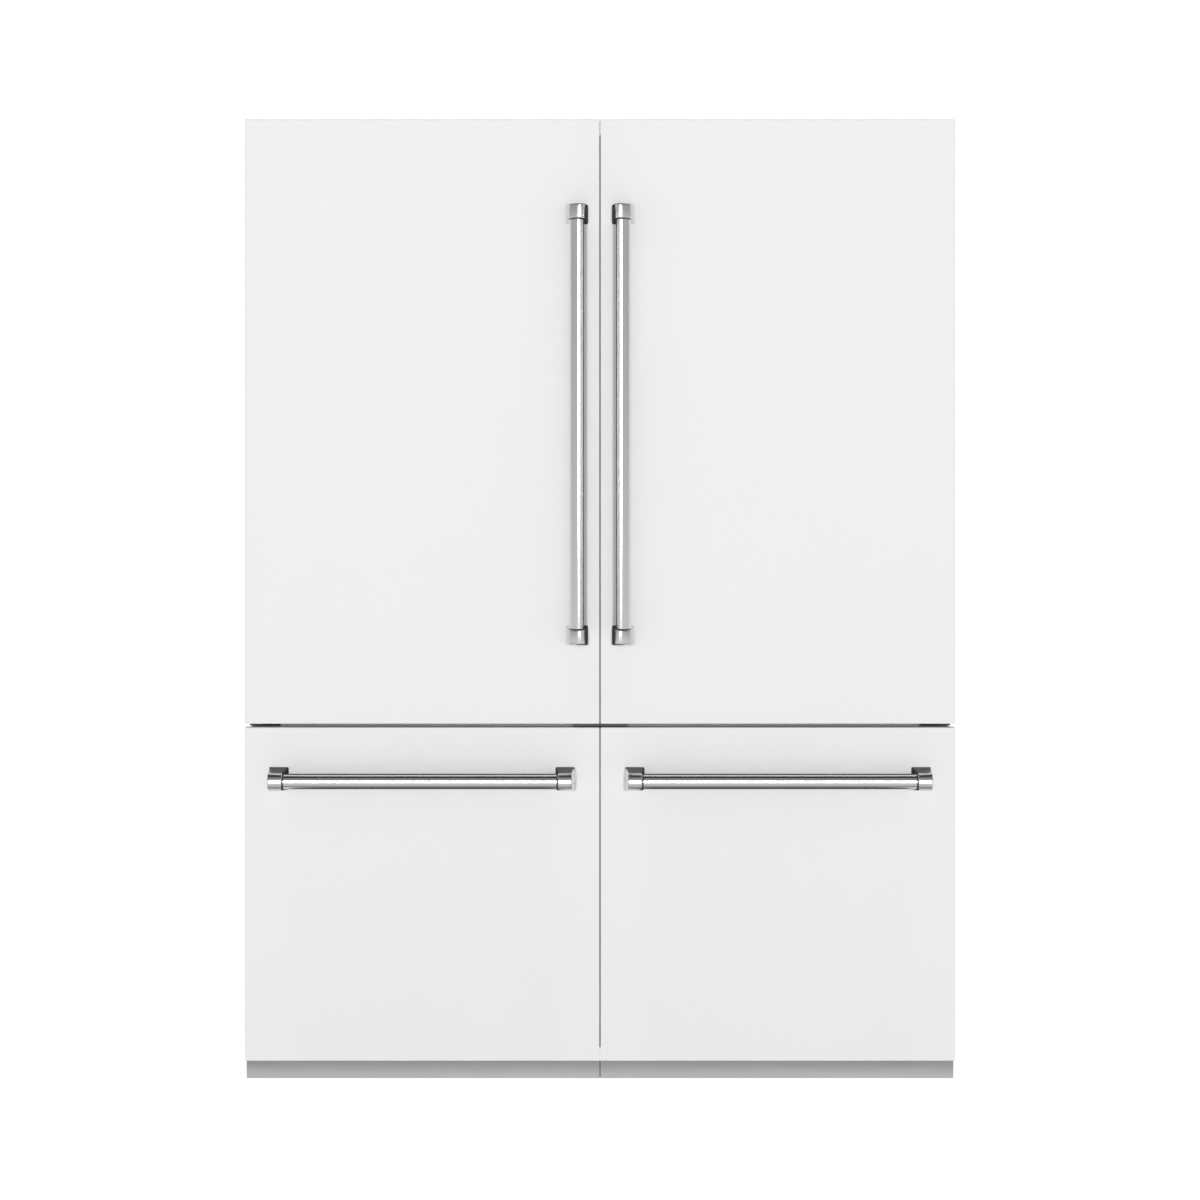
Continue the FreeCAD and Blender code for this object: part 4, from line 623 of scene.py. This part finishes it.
cans, blocks = [], []
for lo, hi in solids("compressors"):
    centre = centre_of(lo, hi)
    if hi[2] - lo[2] < 0.05:
        continue
    low_z, top = lo[2], hi[2]
    radius = 0.072
    tall = top - low_z - 0.011
    centre[2] = low_z + 0.011
    turn = np.linspace(0, math.pi / 2, 9)
    dome = [(tall - 0.045 + 0.045 * np.sin(t), radius * np.cos(t)) for t in turn]
    bowl = [(0.028 - 0.028 * np.sin(t), radius * np.cos(t)) for t in turn[::-1][1:]]
    seam = [(0.075, radius - 0.0015), (0.0755, radius - 0.0003), (0.0785, radius - 0.0003),
            (0.079, radius - 0.0015)]
    profile = [(max(z, 0.0), r - 0.0015 if r > 0.07 else r * 0.979) for z, r in bowl]
    profile += seam + [(z, r * 0.979) for z, r in dome]
    cans.append(turned(centre, 2, profile, 72))
    cans.append(soft_block((lo[0] + 0.0005, lo[1] + 0.0005, low_z + 0.008),
                           (hi[0] - 0.0005, hi[1] - 0.0005, low_z + 0.0108), 0.001, 0.02))
    for x in (-1, 1):
        for y in (-1, 1):
            at = (centre[0] + x * 0.072, centre[1] + y * 0.056, low_z)
            blocks.append(turned(at, 2, [(0, 0.0075), (0.001, 0.009), (0.0035, 0.009),
                                         (0.0045, 0.0075), (0.0055, 0.009), (0.0079, 0.009)],
                                 28))
            cans.append(turned((at[0], at[1], low_z + 0.0108), 2,
                               [(0, 0.0055), (0.004, 0.0055), (0.0045, 0.005)], 6))
    way = 1 if centre[0] > 0 else -1
    inner = centre[0] - way * 0.0845
    span = sorted((inner, inner + way * 0.018))
    blocks.append(soft_block((span[0], centre[1] - 0.026, centre[2] + 0.06),
                             (span[1], centre[1] + 0.026, centre[2] + 0.115), 0.003, 0.006, 0))
    for lift, swing, size in ((0.02, 2.3, 0.004), (0.105, 0.9, 0.0035), (0.06, 1.6, 0.003)):
        out = np.array([np.cos(swing), np.sin(swing) * 0.9, 0])
        base = np.array([centre[0], centre[1], centre[2] + lift])
        path = [base + out * 0.066, base + out * 0.0705, base + out * 0.0705 + (0, 0, 0.012),
                base + out * 0.0705 + (0, 0, 0.026)]
        cans.append(piped(path, size, 14))
make("compressor_cans", "cabinet", "compressor_black", cans, ["compressors"])
make("compressor_mounts", "cabinet", "dark_plastic", blocks)

# ---------------------------------------------------------------- lights, controls and screws

FINISHES["lamp_lens"] = finish("lamp_lens", (grey(0.86), grey(0.9)), (0.35, 0.5),
                               grain=(700, 700, 700), Emission_Color=(1.0, 0.96, 0.9, 1),
                               Emission_Strength=11.0)
FINISHES["touch_mark"] = finish("touch_mark", ((0.55, 0.75, 0.85), (0.65, 0.82, 0.9)), (0.3, 0.4),
                                Emission_Color=(0.6, 0.85, 1.0, 1), Emission_Strength=0.5)


def plain(name, body, finish_name, skins):
    """A small piece with a finish of its own, outside the record's slots."""
    piece = make(name, body, "grey_plastic", skins)
    piece.data.materials[0] = FINISHES[finish_name]
    return piece


def screw_head(at, axis, way, radius=0.0042, tall=0.0024):
    """A pan head with a socket: the section rises, rounds over and dips into the drive."""
    section = [(0, radius), (0.35, radius), (0.7, radius * 0.9), (0.95, radius * 0.66),
               (1, radius * 0.45), (0.98, radius * 0.42), (0.5, radius * 0.36), (0.5, 0)]
    return turned(at, axis, [(way * tall * z, r) for z, r in section], 20)


screws, lenses, marks, surrounds = [], [], [], []
for lo, hi in solids("ceiling_modules"):
    lens_lo = (lo[0] + 0.042, lo[1] + 0.075, lo[2] + 0.0012)
    lens_hi = (hi[0] - 0.042, lo[1] + 0.291, lo[2] + 0.0055)
    lenses.append(soft_block(lens_lo, lens_hi, 0.0012, 0.006))
    middle_x = (lo[0] + hi[0]) / 2
    for index in range(-2, 3):
        at = (middle_x + index * 0.034, lo[1] + 0.034, lo[2])
        marks.append(turned(at, 2, [(0.001, 0.0075), (-0.0005, 0.0075), (-0.0008, 0.007),
                                    (-0.0008, 0.0056), (0.001, 0.0055)], 32))
        surrounds.append(turned(at, 2, [(0.001, 0.0052), (-0.0004, 0.0052),
                                        (-0.0007, 0.0046)], 28))
plain("ceiling_lenses", "cabinet", "lamp_lens", lenses)
plain("touch_rings", "cabinet", "touch_mark", marks)
make("touch_pads", "cabinet", "dark_plastic", surrounds)

for lo, hi in solids("rear_covers"):
    for x in (lo[0] + 0.012, (lo[0] + hi[0]) / 2, hi[0] - 0.012):
        for z in (lo[2] + 0.012, hi[2] - 0.008):
            screws.append(screw_head((x, hi[1] - 0.0021, z), 1, 1, 0.0046, 0.002))
make("rear_cover_screws", "cabinet", "feet_steel", screws)

threads = []
for lo, hi in solids("inlets"):
    if hi[0] - lo[0] > 0.045:
        continue
    x, z = (lo[0] + hi[0]) / 2, (lo[2] + hi[2]) / 2
    count = 57
    reach = np.linspace(hi[1] - 0.016, hi[1] - 0.0005, count)
    ridge = 0.0128 + 0.0004 * np.cos(np.arange(count) * TURN / 6)
    threads.append(turned((x, 0, z), 1, [(reach[0], 0.0095)] + list(zip(reach, ridge))
                          + [(reach[-1], 0.0085), (reach[-1] - 0.014, 0.0085),
                             (reach[-1] - 0.014, 0.0)], 48))
FINISHES["brass"] = finish("brass", ((0.72, 0.5, 0.22), (0.8, 0.6, 0.3)), (0.22, 0.34), metal=1.0,
                           grain=(900, 900, 900), bump=0.1)
plain("valve_threads", "cabinet", "brass", threads)

# Painted shade: a thin dark fin between the doors above the cabinets, and a dark sheet behind the
# toe kicks' seam, so that both seams read dark.
roof_y, roof_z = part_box("cabinet_shells")[0][1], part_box("cabinet_shells")[1][2]
toe_lo, toe_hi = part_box("toe_kicks")
fin = soft_block((-0.0004, face_y + 0.012, roof_z - 0.02),
                 (0.0004, roof_y - 0.0005, high[2] - 0.0012), 0.0001, 0.0003)
toe_seam_shade = soft_block((-0.014, toe_lo[1] + 0.0022, toe_lo[2] + 0.001),
                    (0.014, toe_lo[1] + 0.0042, toe_hi[2] - 0.007), 0.0003, 0.0004)
make("seam_baffles", "cabinet", "dark_steel", [fin, toe_seam_shade])

# ---------------------------------------------------------------- studio

FLOOR_HALF = 14.0
floor_mesh = bpy.data.meshes.new("floor")
grid = np.linspace(-FLOOR_HALF, FLOOR_HALF, 9)
gx, gy = np.meshgrid(grid, grid, indexing="ij")
points = np.stack([gx, gy, np.zeros_like(gx)], -1).reshape(-1, 3)
at = (np.arange(8)[:, None] * 9 + np.arange(8)[None, :]).ravel()
floor_mesh.from_pydata(points.tolist(), [], np.stack([at, at + 9, at + 10, at + 1], -1).tolist())
floor = bpy.data.objects.new("floor", floor_mesh)
bpy.context.scene.collection.objects.link(floor)
floor_mesh.materials.append(finish("studio_floor", (grey(0.9), grey(0.92)), (0.7, 0.8),
                                   patch=(2, 2, 2), grain=(60, 60, 60), bump=0.02,
                                   Emission_Color=(1, 1, 1, 1), Emission_Strength=0.84))


def softbox(name, place, aim, size, power, only=(), never=()):
    """A rectangular soft light that faces a point, and lights only some pieces or all but some."""
    lamp = bpy.data.lights.new(name, "AREA")
    lamp.shape, lamp.size, lamp.size_y, lamp.energy = "RECTANGLE", size[0], size[1], power
    light = bpy.data.objects.new(name, lamp)
    light.location = place
    away = Vector(place) - Vector(aim)
    light.rotation_euler = away.to_track_quat("Z", "Y").to_euler()
    bpy.context.scene.collection.objects.link(light)
    if only or never:
        group = bpy.data.collections.new(name + "_pieces")
        for piece in only or never:
            group.objects.link(piece)
        for item in group.collection_objects:
            item.light_linking.link_state = "INCLUDE" if only else "EXCLUDE"
        light.light_linking.receiver_collection = group
    return light


def steel_of(*bodies):
    """The bright tubes and posts on these bodies."""
    return [o for o in bpy.data.objects if o.name.endswith(("_handle_tube", "_posts"))
            and any(o.name.startswith(body) for body in bodies)]


def rest_of(word):
    """Every piece on one side, or with no word those both sides share, but no bright steel."""
    steel = steel_of("door", "drawer")
    pieces = [o for o in bpy.data.objects if o.type == "MESH" and o not in steel and o != floor]
    if word:
        return [o for o in pieces if word in o.name]
    others = ("left", "right", "toe_kick")
    return [o for o in pieces if not any(other in o.name for other in others)]


# The room's brightness, from straight down (0) to straight up (1). The lens sees plain white.
SKY = ((0.0, 0.5), (0.2, 0.66), (0.42, 0.84), (0.52, 0.5), (0.7, 0.35), (0.82, 0.18),
       (0.9, 0.3), (0.94, 0.03), (1.0, 0.01))
world = bpy.data.worlds.new("studio")
bpy.context.scene.world = world
world.use_nodes = True
air, joins = world.node_tree.nodes, world.node_tree.links
seen = air["Background"]
seen.inputs["Color"].default_value = (1, 1, 1, 1)
seen.inputs["Strength"].default_value = 1.05
unseen = air.new("ShaderNodeBackground")
where, split = air.new("ShaderNodeTexCoord"), air.new("ShaderNodeSeparateXYZ")
level, ramp = air.new("ShaderNodeMapRange"), air.new("ShaderNodeValToRGB")
level.inputs["From Min"].default_value = -1
joins.new(where.outputs["Generated"], split.inputs["Vector"])
joins.new(split.outputs["Z"], level.inputs["Value"])
joins.new(level.outputs["Result"], ramp.inputs["Fac"])
joins.new(ramp.outputs["Color"], unseen.inputs["Color"])
while len(ramp.color_ramp.elements) < len(SKY):
    ramp.color_ramp.elements.new(0.5)
for element, (spot, value) in zip(ramp.color_ramp.elements, SKY):
    element.position = spot
    element.color = (value, value, value, 1)
path = air.new("ShaderNodeLightPath")
both = air.new("ShaderNodeMixShader")
joins.new(path.outputs["Is Camera Ray"], both.inputs["Fac"])
joins.new(unseen.outputs["Background"], both.inputs[1])
joins.new(seen.outputs["Background"], both.inputs[2])
joins.new(both.outputs["Shader"], air["World Output"].inputs["Surface"])
bpy.context.scene.view_settings.view_transform = "Standard"
floor.visible_glossy = floor.visible_diffuse = False

KEY_AWAY = 9.0
KEY_SIZE = (0.7, 0.7)
KEY_HIGH = 0.65 + 0.135 * KEY_AWAY
middle = (0, face_y, high[2] / 2)
all_steel = steel_of("door", "drawer")
for word, side in SIDES:
    key = (side * (0.05 + 0.125 * KEY_AWAY), face_y - KEY_AWAY, KEY_HIGH)
    softbox(f"key_{word}", key, (side * 0.4, face_y, 1.0), KEY_SIZE, 338, only=rest_of(word))
    strip = (side * -1.9, face_y - 2.6, 1.84)
    softbox(f"door_strip_{word}", strip, (side * 0.05, face_y, 1.84), (1.6, 1.6), 50,
            only=steel_of(f"door_{word}"))
softbox("drawer_strip", (0, face_y - 5.0, 0.8), (0, face_y, 0.65), (7.0, 1.6), 330,
        only=steel_of("drawer"))
softbox("key_middle", (0, face_y - KEY_AWAY, KEY_HIGH), (0, face_y, 1.0), KEY_SIZE, 70,
        only=rest_of(""))
softbox("front_fill", (0, face_y - 7.0, 1.3), (0, face_y, 1.1), (6, 3), 75,
        never=all_steel + [o for o in bpy.data.objects if "toe_kick" in o.name])
softbox("top_soft", (0, face_y - 2.5, 4.8), middle, (5, 2), 12, never=all_steel)


def flag(name, lo, hi, shade="roller_rubber"):
    """A dark card that only reflections see, as a studio flag hides a wall; it is flat along one
    axis. It puts painted shade into the steel's reflections where the lit panel or room would show.
    """
    flat = next(axis for axis in range(3) if lo[axis] == hi[axis])
    first, second = [axis for axis in range(3) if axis != flat]
    points = []
    for a, b in ((lo, lo), (lo, hi), (hi, lo), (hi, hi)):
        point = list(lo)
        point[first], point[second] = a[first], b[second]
        points.append(point)
    mesh = bpy.data.meshes.new(name)
    mesh.from_pydata(points, [], [(0, 1, 3, 2)])
    mesh.materials.append(FINISHES[shade])
    card = bpy.data.objects.new(name, mesh)
    bpy.context.scene.collection.objects.link(card)
    card.visible_camera = card.visible_diffuse = card.visible_shadow = False
    card.visible_transmission = False


# Cards of painted shade in reflections: dark along the door tubes' seam side and behind the drawer
# tubes, grey over the drawer posts' tops.
card_y = face_y - 0.0015
door_low, door_high, drawer_high = 0.80, 2.04, 0.745
FINISHES["grey_card"] = finish("grey_card", (grey(0.2), grey(0.22)), (0.8, 0.9),
                               grain=(300, 300, 300))
flag("flag_doors", (-0.05, card_y, door_low), (0.05, card_y, door_high))
# Painted shade: a dark card on the floor before the toe kick darkens its top in reflection, standing
# for the shade under the drawers.
flag("flag_toe", (low[0] - 0.5, face_y - 0.21, 0.0006), (high[0] + 0.5, face_y - 0.085, 0.0006))
for word, side in SIDES:
    tube_lo, tube_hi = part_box(f"drawer_handle_bar_{word}")
    flag(f"flag_drawer_{word}", (tube_lo[0] + 0.03, card_y, 0.04),
         (tube_hi[0] - 0.03, card_y, drawer_high))
    for end, x in (("low", tube_lo[0]), ("high", tube_hi[0])):
        inward = 0.05 if end == "low" else -0.05
        flag(f"flag_post_{word}_{end}", (min(x, x + inward) - 0.012, card_y, tube_hi[2]),
             (max(x, x + inward) + 0.012, card_y, drawer_high), "grey_card")
